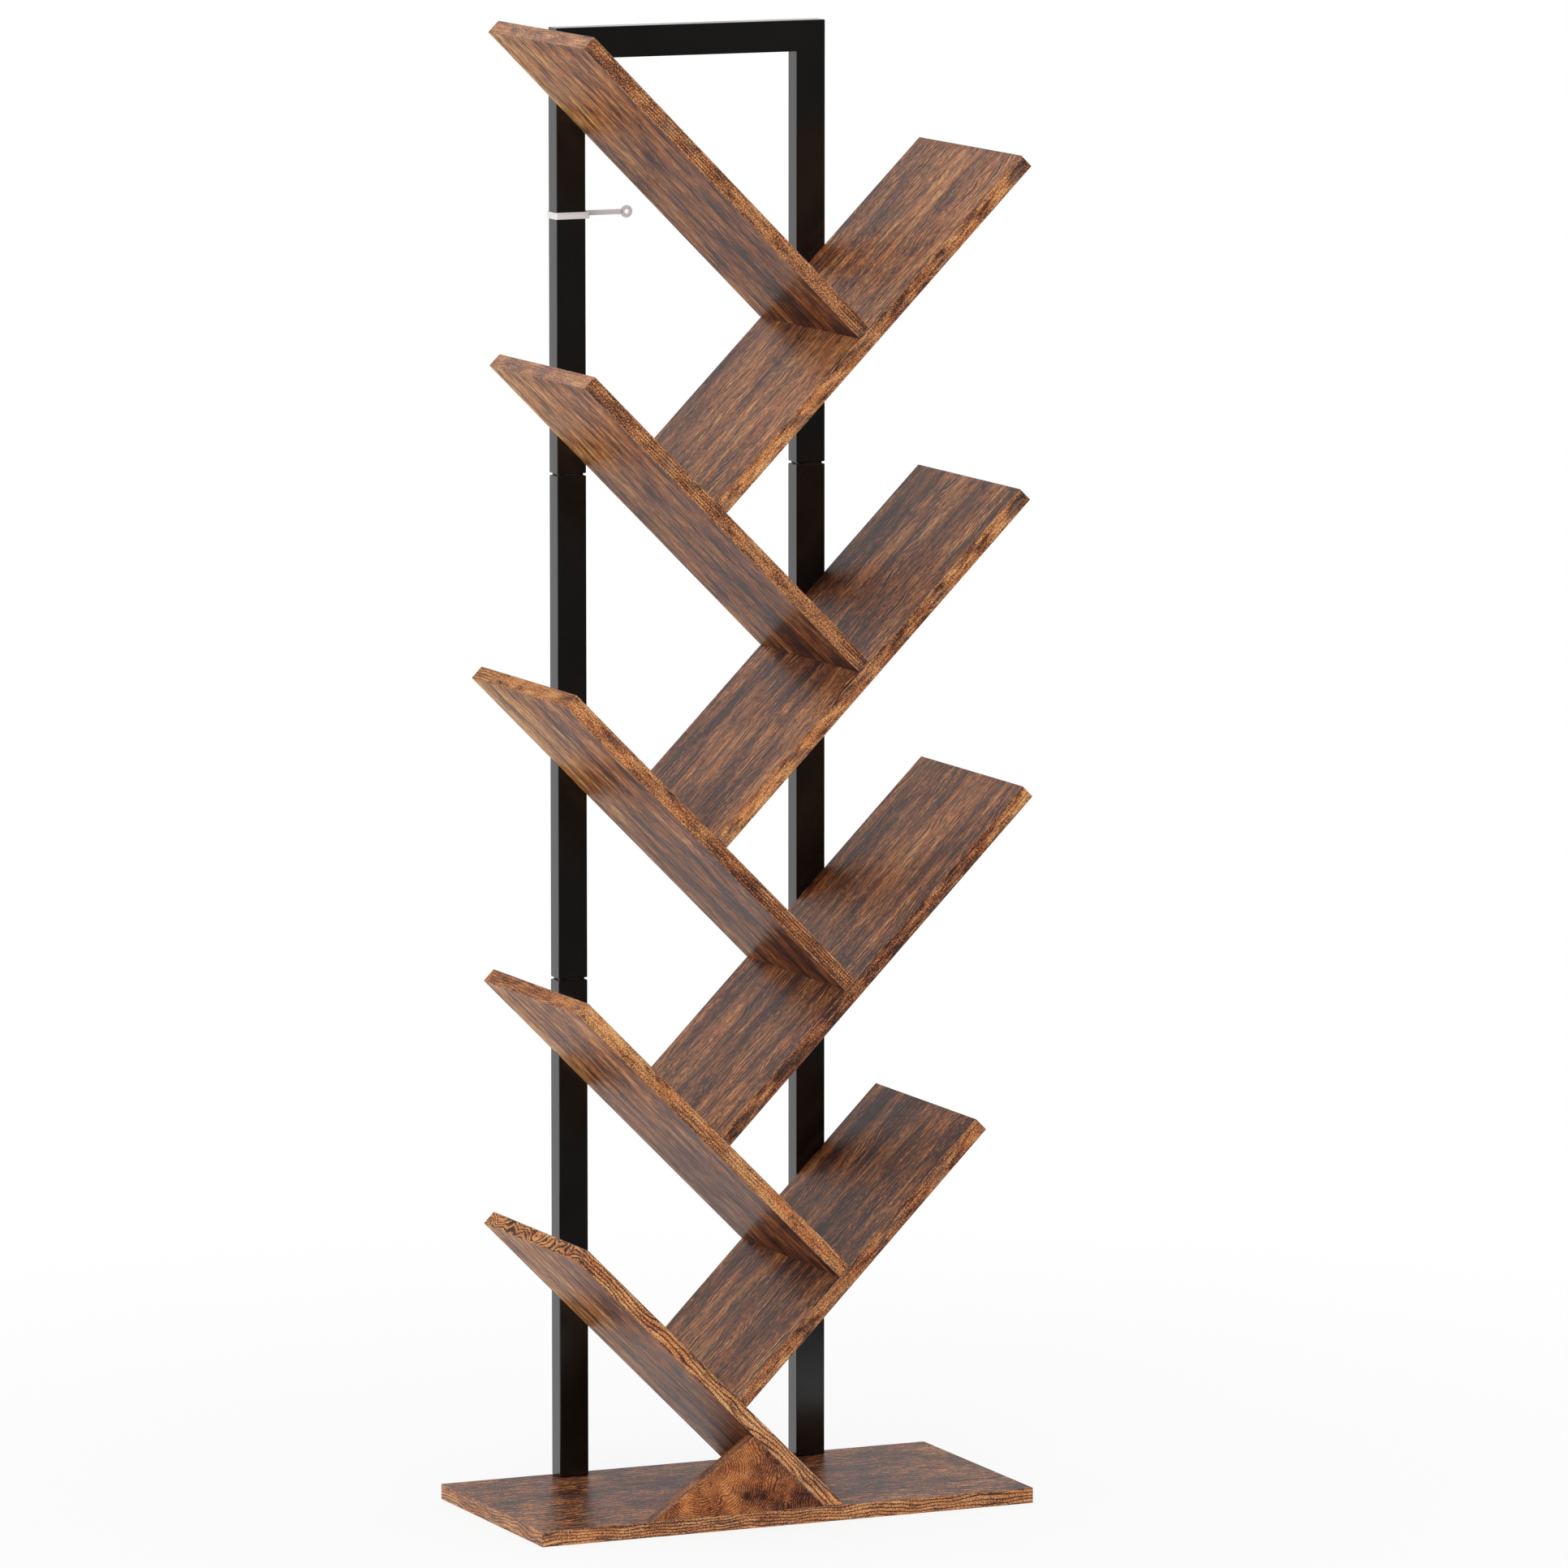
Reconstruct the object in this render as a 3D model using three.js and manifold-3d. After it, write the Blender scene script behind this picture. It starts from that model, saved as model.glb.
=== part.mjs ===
// Tree shaped bookshelf: nine sloping boards branch left and right above a base board,
// and a steel tube frame behind them carries every board with one bolt.
// Millimetres, +X right, +Y to the back, +Z up. The origin is the middle of the base board's underside.
import * as THREE from "three";
import { mergeVertices } from "three/addons/utils/BufferGeometryUtils.js";
import Module from "manifold-3d";

// Boards
const BOARD_THICKNESS = 15;
const BASE_WIDTH = 512;
const BASE_DEPTH = 250;
// The whole tree of boards is turned by this angle:
// left boards fall by it, and right boards stand square to them.
const TREE_TURN = THREE.MathUtils.degToRad(45);
// Where the upper face of the lowest left board meets the base board's top, right of the middle.
const FOOT_TOE_X = 57.5;
// Lengths from the top board down. The lowest left board is measured along its upper face.
const LEFT_LENGTHS = [399, 399, 406, 382, 376];
const RIGHT_LENGTHS = [446, 446, 446, 354];
// Heights at which the boards cross the middle of the shelf, from the top board down,
// as shares of the frame's height. The lowest left board's place follows from its toe.
const LEFT_CROSSING_SHARES = [0.8563, 0.63, 0.4032, 0.2022];
const RIGHT_CROSSING_SHARES = [0.7383, 0.512, 0.3059, 0.113];
// A turned board stops this short of what it stands on.
const SEAT_GAP = 0.3;

// Triangular gusset under the lowest left board, flush with the front
const GUSSET_FOOT = 178;
const GUSSET_SIDE = 104;
// Where its two screws enter, as shares of those sides from the heel they meet at
const GUSSET_BASE_SCREW_SHARE = 0.62;
const GUSSET_SHELF_SCREW_SHARE = 0.55;

// Tube frame
const TUBE_WIDTH = 30;
const TUBE_DEPTH = 20;
const TUBE_WALL = 2;
const FRAME_WIDTH = 280;
const FRAME_HEIGHT = 1400;
const TOP_SECTION_HEIGHT = 426;
const SECTION_GAP = 2;
const FOOT_PLATE = 5;

// Connectors inside the tube at each joint of the posts
const CONNECTOR_LENGTH = 60;
const CONNECTOR_STOP_WIDTH = 14;
const CONNECTOR_STOP_INSET = 0.6;

// Fasteners: where they sit, and their clearance in their holes
const FASTENER_INSET = 45;
const CLEARANCE = 0.3;
const OVERRUN = 5;
const ROUND_SIDES = 14;

// Shelf screw: countersunk head, plain collar in the outer board, thread in the end of the other
const SHELF_SCREW = { head: 5, headDepth: 3, collar: 3.5, collarEnd: 14, thread: 2.5, length: 50, tip: 3 };
const SHELF_SCREW_SOCKET = 2.2;
// Short screw from below the base board into the foot of the lowest left board
const FOOT_SCREW = { head: 4, headDepth: 2.5, collar: 2.2, collarEnd: 14, thread: 1.8, length: 27, tip: 2 };
const FOOT_SCREW_SOCKET = 1.6;
// Bolt from below the base board into the threaded plate that closes each post
const POST_BOLT = { head: 6, headDepth: 3.5, collar: 3, collarEnd: 14, thread: 2.8, length: 24, tip: 1 };
const POST_BOLT_SOCKET = 2.6;
const SOCKET_DEPTH = 2;

// Frame bolt: button head on the back of a post, shank through the tube into a board's back edge
const FRAME_BOLT_HEAD = 5.5;
const FRAME_BOLT_HEAD_HEIGHT = 3.2;
const FRAME_BOLT_CROWN = 3.4;
const FRAME_BOLT_SHANK = 3;
const FRAME_BOLT_REACH = 30;
const FRAME_BOLT_SOCKET = 2.3;

// Cam lock in the underside of each right board's foot, and its bolt standing in the left board
const CAM_RADIUS = 7.5;
const CAM_DEPTH = 12;
const CAM_INSET = 34;
const CAM_SLOT_LENGTH = 8;
const CAM_SLOT_WIDTH = 2;
const CAM_SLOT_DEPTH = 2.5;
const CAM_BORE = 4;
const CAM_BOLT_THREAD = 2.5;
const CAM_BOLT_THREAD_LENGTH = 11;
const CAM_BOLT_COLLAR = 3.5;
const CAM_BOLT_COLLAR_LENGTH = 1.5;
const CAM_BOLT_NECK = 1.8;
const CAM_BOLT_HEAD = 3;
const CAM_BOLT_HEAD_LENGTH = 3;

// Wall tie: a moulded band looped round the left post. Its tail runs from a buckle to a screw eye.
// The drop is from the frame's top to the band's middle.
const TIE_HEIGHT = 6.5;
const TIE_THICKNESS = 1.4;
const TIE_DROP = 179;
const TIE_SLACK = 2.5;
const TIE_CORNER = 2.4;
const TIE_TAIL = 52;
const TIE_TAIL_HEIGHT = 5;
const TIE_EYE_RADIUS = 6;
const TIE_EYE_HOLE = 2.2;
const BUCKLE_WIDTH = 10;
const BUCKLE_HEIGHT = 9;
const BUCKLE_DEPTH = 4;

const frontY = -BASE_DEPTH / 2;
const backY = BASE_DEPTH / 2;
const postFrontY = backY - TUBE_DEPTH;
const postX = (FRAME_WIDTH - TUBE_WIDTH) / 2;
const fastenerRows = { front: frontY + FASTENER_INSET, back: postFrontY - FASTENER_INSET };

const vec = (x, y, z) => new THREE.Vector3(x, y, z);
const UP = vec(0, 0, 1);
const DOWN = vec(0, 0, -1);
const LEFT = vec(-1, 0, 0);
const FORWARD = vec(0, -1, 0);
const BACKWARD = vec(0, 1, 0);

const wasm = await Module();
wasm.setup();

function solidFrom(geometry) {
  const bare = geometry.clone();
  bare.deleteAttribute("normal");
  bare.deleteAttribute("uv");
  const merged = mergeVertices(bare);
  const vertProperties = new Float32Array(merged.attributes.position.array);
  const triVerts = new Uint32Array(merged.index.array);
  return new wasm.Manifold(new wasm.Mesh({ numProp: 3, vertProperties, triVerts }));
}

function geometryFrom(solid) {
  const mesh = solid.getMesh();
  const geometry = new THREE.BufferGeometry();
  geometry.setAttribute("position", new THREE.BufferAttribute(mesh.vertProperties, 3));
  geometry.setIndex(new THREE.BufferAttribute(mesh.triVerts, 1));
  geometry.computeVertexNormals();
  return geometry;
}

function cut(geometry, cutters) {
  let solid = solidFrom(geometry);
  for (const cutter of cutters) solid = solid.subtract(solidFrom(cutter));
  return geometryFrom(solid);
}

function join(geometries) {
  let solid = solidFrom(geometries[0]);
  for (const geometry of geometries.slice(1)) solid = solid.add(solidFrom(geometry));
  return geometryFrom(solid);
}

function block(low, high) {
  const box = new THREE.BoxGeometry(high.x - low.x, high.y - low.y, high.z - low.z);
  return box.translate((low.x + high.x) / 2, (low.y + high.y) / 2, (low.z + high.z) / 2);
}

// A turned solid whose axis is +Z: each pair is a radius and a height.
function turned(pairs, sides = ROUND_SIDES) {
  const points = pairs.map(([radius, height]) => new THREE.Vector2(radius, height));
  return new THREE.LatheGeometry(points, sides).rotateX(Math.PI / 2);
}

const rod = (radius, bottom, top) => turned([[0, bottom], [radius, bottom], [radius, top], [0, top]]);

// Points a geometry made along +Z down another direction, with its zero at the given place.
function aimed(geometry, spot, direction) {
  const turn = new THREE.Quaternion().setFromUnitVectors(UP, direction);
  return geometry.clone().applyQuaternion(turn).translate(spot.x, spot.y, spot.z);
}

const wood = new THREE.MeshStandardMaterial({ color: 0x7a4526, roughness: 0.5, metalness: 0 });
const steel = new THREE.MeshStandardMaterial({ color: 0x161513, roughness: 0.3, metalness: 0.3 });
const zinc = new THREE.MeshStandardMaterial({ color: 0xa9abad, roughness: 0.35, metalness: 0.9 });
const blackScrew = new THREE.MeshStandardMaterial({ color: 0x1d1c1b, roughness: 0.4, metalness: 0.8 });
const nylon = new THREE.MeshStandardMaterial({ color: 0x222222, roughness: 0.6, metalness: 0 });
const whiteNylon = new THREE.MeshStandardMaterial({ color: 0xececec, roughness: 0.45, metalness: 0 });

const bookshelf = new THREE.Group();
// Inside the tree group the left boards lie level and the right boards stand upright.
const tree = new THREE.Group();
tree.rotation.y = TREE_TURN;
bookshelf.add(tree);

function place(group, name, geometry, material) {
  const mesh = new THREE.Mesh(geometry, material);
  mesh.name = name;
  group.add(mesh);
}

// A point of the front view, in the tree group's own axes:
// u runs down the left boards, w up the right ones.
const toTree = (x, z) => ({
  u: x * Math.cos(TREE_TURN) - z * Math.sin(TREE_TURN),
  w: x * Math.sin(TREE_TURN) + z * Math.cos(TREE_TURN),
});

// A countersunk screw that enters at zero and points up +Z; extra widens it into its own hole.
function screwBody(size, extra = 0) {
  const { head, headDepth, collar, collarEnd, thread, length, tip } = size;
  return turned([
    [0, 0],
    [head + extra, 0],
    [collar + extra, headDepth],
    [collar + extra, collarEnd],
    [thread + extra, collarEnd],
    [thread + extra, length - tip + extra],
    [0, length + extra],
  ]);
}

function hexSocket(radius) {
  const hexagon = new THREE.CylinderGeometry(radius, radius, SOCKET_DEPTH * 2, 6);
  return hexagon.rotateX(Math.PI / 2);
}

const screw = (size, socket) => cut(screwBody(size), [hexSocket(socket)]);
const screwHole = (size) => join([screwBody(size, CLEARANCE), rod(size.head + CLEARANCE, -OVERRUN, 0)]);

const shelfScrew = screw(SHELF_SCREW, SHELF_SCREW_SOCKET);
const shelfScrewHole = screwHole(SHELF_SCREW);
const footScrew = screw(FOOT_SCREW, FOOT_SCREW_SOCKET);
const footScrewHole = screwHole(FOOT_SCREW);
const postBolt = screw(POST_BOLT, POST_BOLT_SOCKET);
const postBoltHole = screwHole(POST_BOLT);

// Frame bolt: the head's seat is at zero and the shank points up +Z.
const frameBolt = cut(
  turned([
    [0, -FRAME_BOLT_HEAD_HEIGHT],
    [FRAME_BOLT_CROWN, -FRAME_BOLT_HEAD_HEIGHT],
    [FRAME_BOLT_HEAD, -FRAME_BOLT_HEAD_HEIGHT / 3],
    [FRAME_BOLT_HEAD, 0],
    [FRAME_BOLT_SHANK, 0],
    [FRAME_BOLT_SHANK, TUBE_DEPTH + FRAME_BOLT_REACH],
    [0, TUBE_DEPTH + FRAME_BOLT_REACH],
  ]),
  [hexSocket(FRAME_BOLT_SOCKET).translate(0, 0, -FRAME_BOLT_HEAD_HEIGHT)],
);
const frameBoltHole = rod(FRAME_BOLT_SHANK + CLEARANCE, -OVERRUN, TUBE_DEPTH + FRAME_BOLT_REACH + CLEARANCE);

// Cam lock: its slotted face is at zero and +Z points into the board.
// The pocket takes the bolt from +Y.
const camMiddle = BOARD_THICKNESS / 2;
const pocketHalf = CAM_BOLT_HEAD + CLEARANCE * 2;
const camLock = cut(rod(CAM_RADIUS, 0, CAM_DEPTH), [
  block(
    vec(-pocketHalf, -pocketHalf, camMiddle - pocketHalf),
    vec(pocketHalf, CAM_RADIUS + OVERRUN, camMiddle + pocketHalf),
  ),
  block(
    vec(-CAM_SLOT_LENGTH / 2, -CAM_SLOT_WIDTH / 2, -OVERRUN),
    vec(CAM_SLOT_LENGTH / 2, CAM_SLOT_WIDTH / 2, CAM_SLOT_DEPTH),
  ),
  block(
    vec(-CAM_SLOT_WIDTH / 2, -CAM_SLOT_LENGTH / 2, -OVERRUN),
    vec(CAM_SLOT_WIDTH / 2, CAM_SLOT_LENGTH / 2, CAM_SLOT_DEPTH),
  ),
]);
const camHole = rod(CAM_RADIUS + CLEARANCE, -OVERRUN, CAM_DEPTH + CLEARANCE);

// Cam bolt: the left board's face is at zero, the thread points down and the head stands in the cam.
const camBolt = turned([
  [0, -CAM_BOLT_THREAD_LENGTH],
  [CAM_BOLT_THREAD, -CAM_BOLT_THREAD_LENGTH],
  [CAM_BOLT_THREAD, 0],
  [CAM_BOLT_COLLAR, 0],
  [CAM_BOLT_COLLAR, CAM_BOLT_COLLAR_LENGTH],
  [CAM_BOLT_NECK, CAM_BOLT_COLLAR_LENGTH],
  [CAM_BOLT_NECK, CAM_INSET - CAM_BOLT_HEAD_LENGTH / 2],
  [CAM_BOLT_HEAD, CAM_INSET - CAM_BOLT_HEAD_LENGTH / 2],
  [CAM_BOLT_HEAD, CAM_INSET + CAM_BOLT_HEAD_LENGTH / 2],
  [0, CAM_INSET + CAM_BOLT_HEAD_LENGTH / 2],
]);
const camBoltHole = rod(CAM_BOLT_THREAD + CLEARANCE, -CAM_BOLT_THREAD_LENGTH - CLEARANCE, OVERRUN);

// Board places in the tree group. Number 1 is the top board. Each left board ends at the upper face
// of the right board beside it, and each right board stands on the left board below it.
const toe = toTree(FOOT_TOE_X, BOARD_THICKNESS);
const crossing = (share) => toTree(0, BOARD_THICKNESS + FRAME_HEIGHT * share);
const leftTops = LEFT_CROSSING_SHARES.map((share) => crossing(share).w + BOARD_THICKNESS / 2);
leftTops.push(toe.w);
const rightFaces = RIGHT_CROSSING_SHARES.map((share) => crossing(share).u - BOARD_THICKNESS / 2);
const leftFeet = [...rightFaces, toe.u];
const leftBoards = leftTops.map((top, i) => ({
  top,
  foot: leftFeet[i],
  head: leftFeet[i] - LEFT_LENGTHS[i],
  cutters: [],
}));
const rightBoards = rightFaces.map((face, i) => ({
  face,
  foot: leftTops[i + 1],
  head: leftTops[i + 1] + RIGHT_LENGTHS[i],
  cutters: [],
}));
const lowestLeft = leftBoards[leftBoards.length - 1];

const baseCutters = [];
const gussetCutters = [];
const postCutters = [];

// Each left board but the lowest butts against a right board:
// two shelf screws go in from that board's underside.
rightBoards.forEach((right, i) => {
  const left = leftBoards[i];
  for (const [row, y] of Object.entries(fastenerRows)) {
    const entry = vec(right.face + BOARD_THICKNESS, y, left.top - BOARD_THICKNESS / 2);
    const hole = aimed(shelfScrewHole, entry, LEFT);
    right.cutters.push(hole);
    left.cutters.push(hole);
    place(tree, `shelf_screw_${i + 1}_${row}`, aimed(shelfScrew, entry, LEFT), zinc);
  }
});

// Each right board stands on the left board below it: two bolts stand in that board and cams draw them in.
rightBoards.forEach((right, i) => {
  const below = leftBoards[i + 1];
  for (const [row, y] of Object.entries(fastenerRows)) {
    const seatPoint = vec(right.face + BOARD_THICKNESS / 2, y, below.top);
    const camPoint = vec(right.face + BOARD_THICKNESS, y, below.top + CAM_INSET);
    right.cutters.push(aimed(rod(CAM_BORE, -OVERRUN, CAM_INSET), seatPoint, UP));
    // The cam's own +Z points into the board and its pocket looks down at the bolt.
    const intoBoard = new THREE.Matrix4().makeBasis(BACKWARD, DOWN, LEFT).setPosition(camPoint);
    right.cutters.push(camHole.clone().applyMatrix4(intoBoard));
    below.cutters.push(aimed(camBoltHole, seatPoint, UP));
    place(tree, `cam_lock_${i + 1}_${row}`, camLock.clone().applyMatrix4(intoBoard), zinc);
    place(tree, `cam_bolt_${i + 1}_${row}`, aimed(camBolt, seatPoint, UP), zinc);
  }
});

// One bolt through the post behind each board. Its place is where the board's middle crosses the post's.
function boltBoard(board, name, x, treePoint) {
  const z = treePoint.w * Math.cos(TREE_TURN) - treePoint.u * Math.sin(TREE_TURN);
  const entry = vec(x, backY, z);
  board.cutters.push(aimed(frameBoltHole, vec(treePoint.u, backY, treePoint.w), FORWARD));
  postCutters.push(aimed(frameBoltHole, entry, FORWARD));
  place(bookshelf, name, aimed(frameBolt, entry, FORWARD), blackScrew);
}
leftBoards.forEach((board, i) => {
  const w = board.top - BOARD_THICKNESS / 2;
  const u = (-postX - w * Math.sin(TREE_TURN)) / Math.cos(TREE_TURN);
  boltBoard(board, `frame_bolt_left_${i + 1}`, -postX, { u, w });
});
rightBoards.forEach((board, i) => {
  const u = board.face + BOARD_THICKNESS / 2;
  const w = (postX - u * Math.cos(TREE_TURN)) / Math.sin(TREE_TURN);
  boltBoard(board, `frame_bolt_right_${i + 1}`, postX, { u, w });
});

// Foot screws of the lowest left board, midway between its underside at the base and its upper face above
const heelX = FOOT_TOE_X - BOARD_THICKNESS / Math.sin(TREE_TURN);
const footReach = FOOT_SCREW.length - BOARD_THICKNESS;
const footScrewX = (heelX + FOOT_TOE_X - footReach / Math.tan(TREE_TURN)) / 2;
for (const [row, y] of Object.entries(fastenerRows)) {
  const entry = vec(footScrewX, y, 0);
  baseCutters.push(aimed(footScrewHole, entry, UP));
  const inTree = toTree(footScrewX, 0);
  const upInTree = vec(-Math.sin(TREE_TURN), 0, Math.cos(TREE_TURN));
  lowestLeft.cutters.push(aimed(footScrewHole, vec(inTree.u, y, inTree.w), upInTree));
  place(bookshelf, `foot_screw_${row}`, aimed(footScrew, entry, UP), zinc);
}

// Gusset screws: one up from the base board, one square through the lowest left board
const gussetY = frontY + BOARD_THICKNESS / 2;
const gussetEntry = vec(heelX - GUSSET_FOOT * GUSSET_BASE_SCREW_SHARE, gussetY, 0);
baseCutters.push(aimed(shelfScrewHole, gussetEntry, UP));
gussetCutters.push(aimed(shelfScrewHole, gussetEntry, UP));
place(bookshelf, "gusset_screw_base", aimed(shelfScrew, gussetEntry, UP), zinc);
const shelfEntry = vec(lowestLeft.foot - GUSSET_SIDE * GUSSET_SHELF_SCREW_SHARE, gussetY, lowestLeft.top);
const shelfEntryX = shelfEntry.x * Math.cos(TREE_TURN) + shelfEntry.z * Math.sin(TREE_TURN);
const shelfEntryZ = shelfEntry.z * Math.cos(TREE_TURN) - shelfEntry.x * Math.sin(TREE_TURN);
const intoGusset = vec(-Math.sin(TREE_TURN), 0, -Math.cos(TREE_TURN));
lowestLeft.cutters.push(aimed(shelfScrewHole, shelfEntry, DOWN));
gussetCutters.push(aimed(shelfScrewHole, vec(shelfEntryX, gussetY, shelfEntryZ), intoGusset));
place(tree, "gusset_screw_shelf", aimed(shelfScrew, shelfEntry, DOWN), zinc);

// Post bolts up through the base board
for (const [side, x] of [["left", -postX], ["right", postX]]) {
  const entry = vec(x, postFrontY + TUBE_DEPTH / 2, 0);
  baseCutters.push(aimed(postBoltHole, entry, UP));
  postCutters.push(aimed(postBoltHole, entry, UP));
  place(bookshelf, `post_bolt_${side}`, aimed(postBolt, entry, UP), zinc);
}

// Left boards
leftBoards.forEach((board, i) => {
  const isLowest = board === lowestLeft;
  const low = vec(board.head, frontY, board.top - BOARD_THICKNESS);
  const end = isLowest ? board.foot + BOARD_THICKNESS + OVERRUN : board.foot - SEAT_GAP;
  const plank = block(low, vec(end, postFrontY, board.top));
  if (isLowest) {
    // The foot is sawn level, just above the base board's top.
    const under = block(
      vec(-BASE_WIDTH, frontY - OVERRUN, -BASE_WIDTH),
      vec(BASE_WIDTH, backY + OVERRUN, BOARD_THICKNESS + SEAT_GAP),
    ).rotateY(-TREE_TURN);
    board.cutters.push(under);
  }
  place(tree, `left_shelf_${i + 1}`, cut(plank, board.cutters), wood);
});

// Right boards
rightBoards.forEach((board, i) => {
  const low = vec(board.face, frontY, board.foot + SEAT_GAP);
  const plank = block(low, vec(board.face + BOARD_THICKNESS, postFrontY, board.head));
  place(tree, `right_shelf_${i + 1}`, cut(plank, board.cutters), wood);
});

// Base board
const base = block(vec(-BASE_WIDTH / 2, frontY, 0), vec(BASE_WIDTH / 2, backY, BOARD_THICKNESS));
place(bookshelf, "base_board", cut(base, baseCutters), wood);

// Gusset: one side on the base board, one along the underside of the lowest left board
const gussetHeelX = heelX - SEAT_GAP / Math.sin(TREE_TURN);
const gussetOutline = new THREE.Shape([
  new THREE.Vector2(gussetHeelX, BOARD_THICKNESS),
  new THREE.Vector2(
    gussetHeelX - GUSSET_SIDE * Math.cos(TREE_TURN),
    BOARD_THICKNESS + GUSSET_SIDE * Math.sin(TREE_TURN),
  ),
  new THREE.Vector2(gussetHeelX - GUSSET_FOOT, BOARD_THICKNESS),
]);
const gusset = new THREE.ExtrudeGeometry(gussetOutline, { depth: BOARD_THICKNESS, bevelEnabled: false });
gusset.rotateX(Math.PI / 2).translate(0, frontY + BOARD_THICKNESS, 0);
place(bookshelf, "base_gusset", cut(gusset, gussetCutters), wood);

// Frame sections: the top one is a welded arch, and two straight posts stand under each of its legs.
const frameTop = BOARD_THICKNESS + FRAME_HEIGHT;
const topSectionFoot = frameTop - TOP_SECTION_HEIGHT;
const straightHeight = (topSectionFoot - SECTION_GAP - BOARD_THICKNESS - SECTION_GAP) / 2;
const middleFoot = topSectionFoot - SECTION_GAP - straightHeight;
const lowerTop = middleFoot - SECTION_GAP;
const halfFrame = FRAME_WIDTH / 2;

function tubeBetween(lowX, highX, lowZ, highZ, inset) {
  return block(vec(lowX + inset, postFrontY + inset, lowZ), vec(highX - inset, backY - inset, highZ));
}

function archLayer(inset, foot) {
  const rail = tubeBetween(-halfFrame, halfFrame, frameTop - TUBE_WIDTH + inset, frameTop - inset, inset);
  const legs = [-postX, postX].map((x) =>
    tubeBetween(x - TUBE_WIDTH / 2, x + TUBE_WIDTH / 2, foot, frameTop - inset, inset),
  );
  return join([rail, ...legs]);
}
const archInside = archLayer(TUBE_WALL, topSectionFoot - OVERRUN);
const arch = cut(archLayer(0, topSectionFoot), [archInside, ...postCutters]);
place(bookshelf, "frame_top_section", arch, steel);

for (const [side, x] of [["left", -postX], ["right", postX]]) {
  const lowX = x - TUBE_WIDTH / 2;
  const highX = x + TUBE_WIDTH / 2;
  const straightPost = (foot, top, hollowFoot) =>
    cut(tubeBetween(lowX, highX, foot, top, 0), [
      tubeBetween(lowX, highX, hollowFoot, top + OVERRUN, TUBE_WALL),
      ...postCutters,
    ]);
  const middle = straightPost(middleFoot, middleFoot + straightHeight, middleFoot - OVERRUN);
  place(bookshelf, `frame_middle_post_${side}`, middle, steel);
  const lower = straightPost(BOARD_THICKNESS, lowerTop, BOARD_THICKNESS + FOOT_PLATE);
  place(bookshelf, `frame_lower_post_${side}`, lower, steel);

  // Each connector fills the tube above and below a joint, and its stops keep the two sections apart.
  // It is drilled like the posts, for any bolt that passes near a joint.
  for (const [level, jointFoot] of [["upper", topSectionFoot - SECTION_GAP], ["lower", lowerTop]]) {
    const middleZ = jointFoot + SECTION_GAP / 2;
    const inset = TUBE_WALL + CLEARANCE;
    const halfStop = CONNECTOR_STOP_WIDTH / 2;
    const halfLength = CONNECTOR_LENGTH / 2;
    const core = tubeBetween(lowX, highX, middleZ - halfLength, middleZ + halfLength, inset);
    const stops = block(
      vec(x - halfStop, postFrontY + CONNECTOR_STOP_INSET, jointFoot),
      vec(x + halfStop, backY - CONNECTOR_STOP_INSET, jointFoot + SECTION_GAP),
    );
    const connector = cut(join([core, stops]), postCutters);
    place(bookshelf, `post_connector_${level}_${side}`, connector, nylon);
  }
}

// Wall tie: the loop's outline seen from above, then the buckle behind the post, the tail and the screw eye
function roundedRing(low, high, thickness, corner) {
  const outer = roundedPath(new THREE.Shape(), low, high, corner);
  const innerLow = low.clone().addScalar(thickness);
  const innerHigh = high.clone().addScalar(-thickness);
  outer.holes.push(roundedPath(new THREE.Path(), innerLow, innerHigh, corner - thickness));
  return outer;
}

function roundedPath(path, low, high, radius) {
  path.moveTo(low.x + radius, low.y);
  path.lineTo(high.x - radius, low.y);
  path.absarc(high.x - radius, low.y + radius, radius, -Math.PI / 2, 0);
  path.lineTo(high.x, high.y - radius);
  path.absarc(high.x - radius, high.y - radius, radius, 0, Math.PI / 2);
  path.lineTo(low.x + radius, high.y);
  path.absarc(low.x + radius, high.y - radius, radius, Math.PI / 2, Math.PI);
  path.lineTo(low.x, low.y + radius);
  path.absarc(low.x + radius, low.y + radius, radius, Math.PI, Math.PI * 1.5);
  return path;
}

const tieLow = new THREE.Vector2(
  -halfFrame - CLEARANCE - TIE_THICKNESS,
  postFrontY - CLEARANCE - TIE_THICKNESS,
);
const tieHigh = new THREE.Vector2(
  -halfFrame + TUBE_WIDTH + TIE_SLACK + TIE_THICKNESS,
  backY + CLEARANCE + TIE_THICKNESS,
);
const tieCentreZ = frameTop - TIE_DROP;
const tieLoop = new THREE.ExtrudeGeometry(roundedRing(tieLow, tieHigh, TIE_THICKNESS, TIE_CORNER), {
  depth: TIE_HEIGHT,
  bevelEnabled: false,
  curveSegments: 4,
}).translate(0, 0, tieCentreZ - TIE_HEIGHT / 2);
const buckleBackY = backY + CLEARANCE + BUCKLE_DEPTH;
const tieBuckle = block(
  vec(-postX - BUCKLE_WIDTH / 2, backY + CLEARANCE, tieCentreZ - BUCKLE_HEIGHT / 2),
  vec(-postX + BUCKLE_WIDTH / 2, buckleBackY, tieCentreZ + BUCKLE_HEIGHT / 2),
);
const eyeSpot = vec(-halfFrame + TUBE_WIDTH + TIE_TAIL, buckleBackY, tieCentreZ);
const tieTail = block(
  vec(-postX, tieHigh.y, tieCentreZ - TIE_TAIL_HEIGHT / 2),
  vec(eyeSpot.x, tieHigh.y + TIE_THICKNESS, tieCentreZ + TIE_TAIL_HEIGHT / 2),
);
const eyeDepth = buckleBackY - tieHigh.y;
const tieEye = aimed(rod(TIE_EYE_RADIUS, 0, eyeDepth), eyeSpot, FORWARD);
const eyeHole = aimed(rod(TIE_EYE_HOLE, -OVERRUN, eyeDepth + OVERRUN), eyeSpot, FORWARD);
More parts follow.
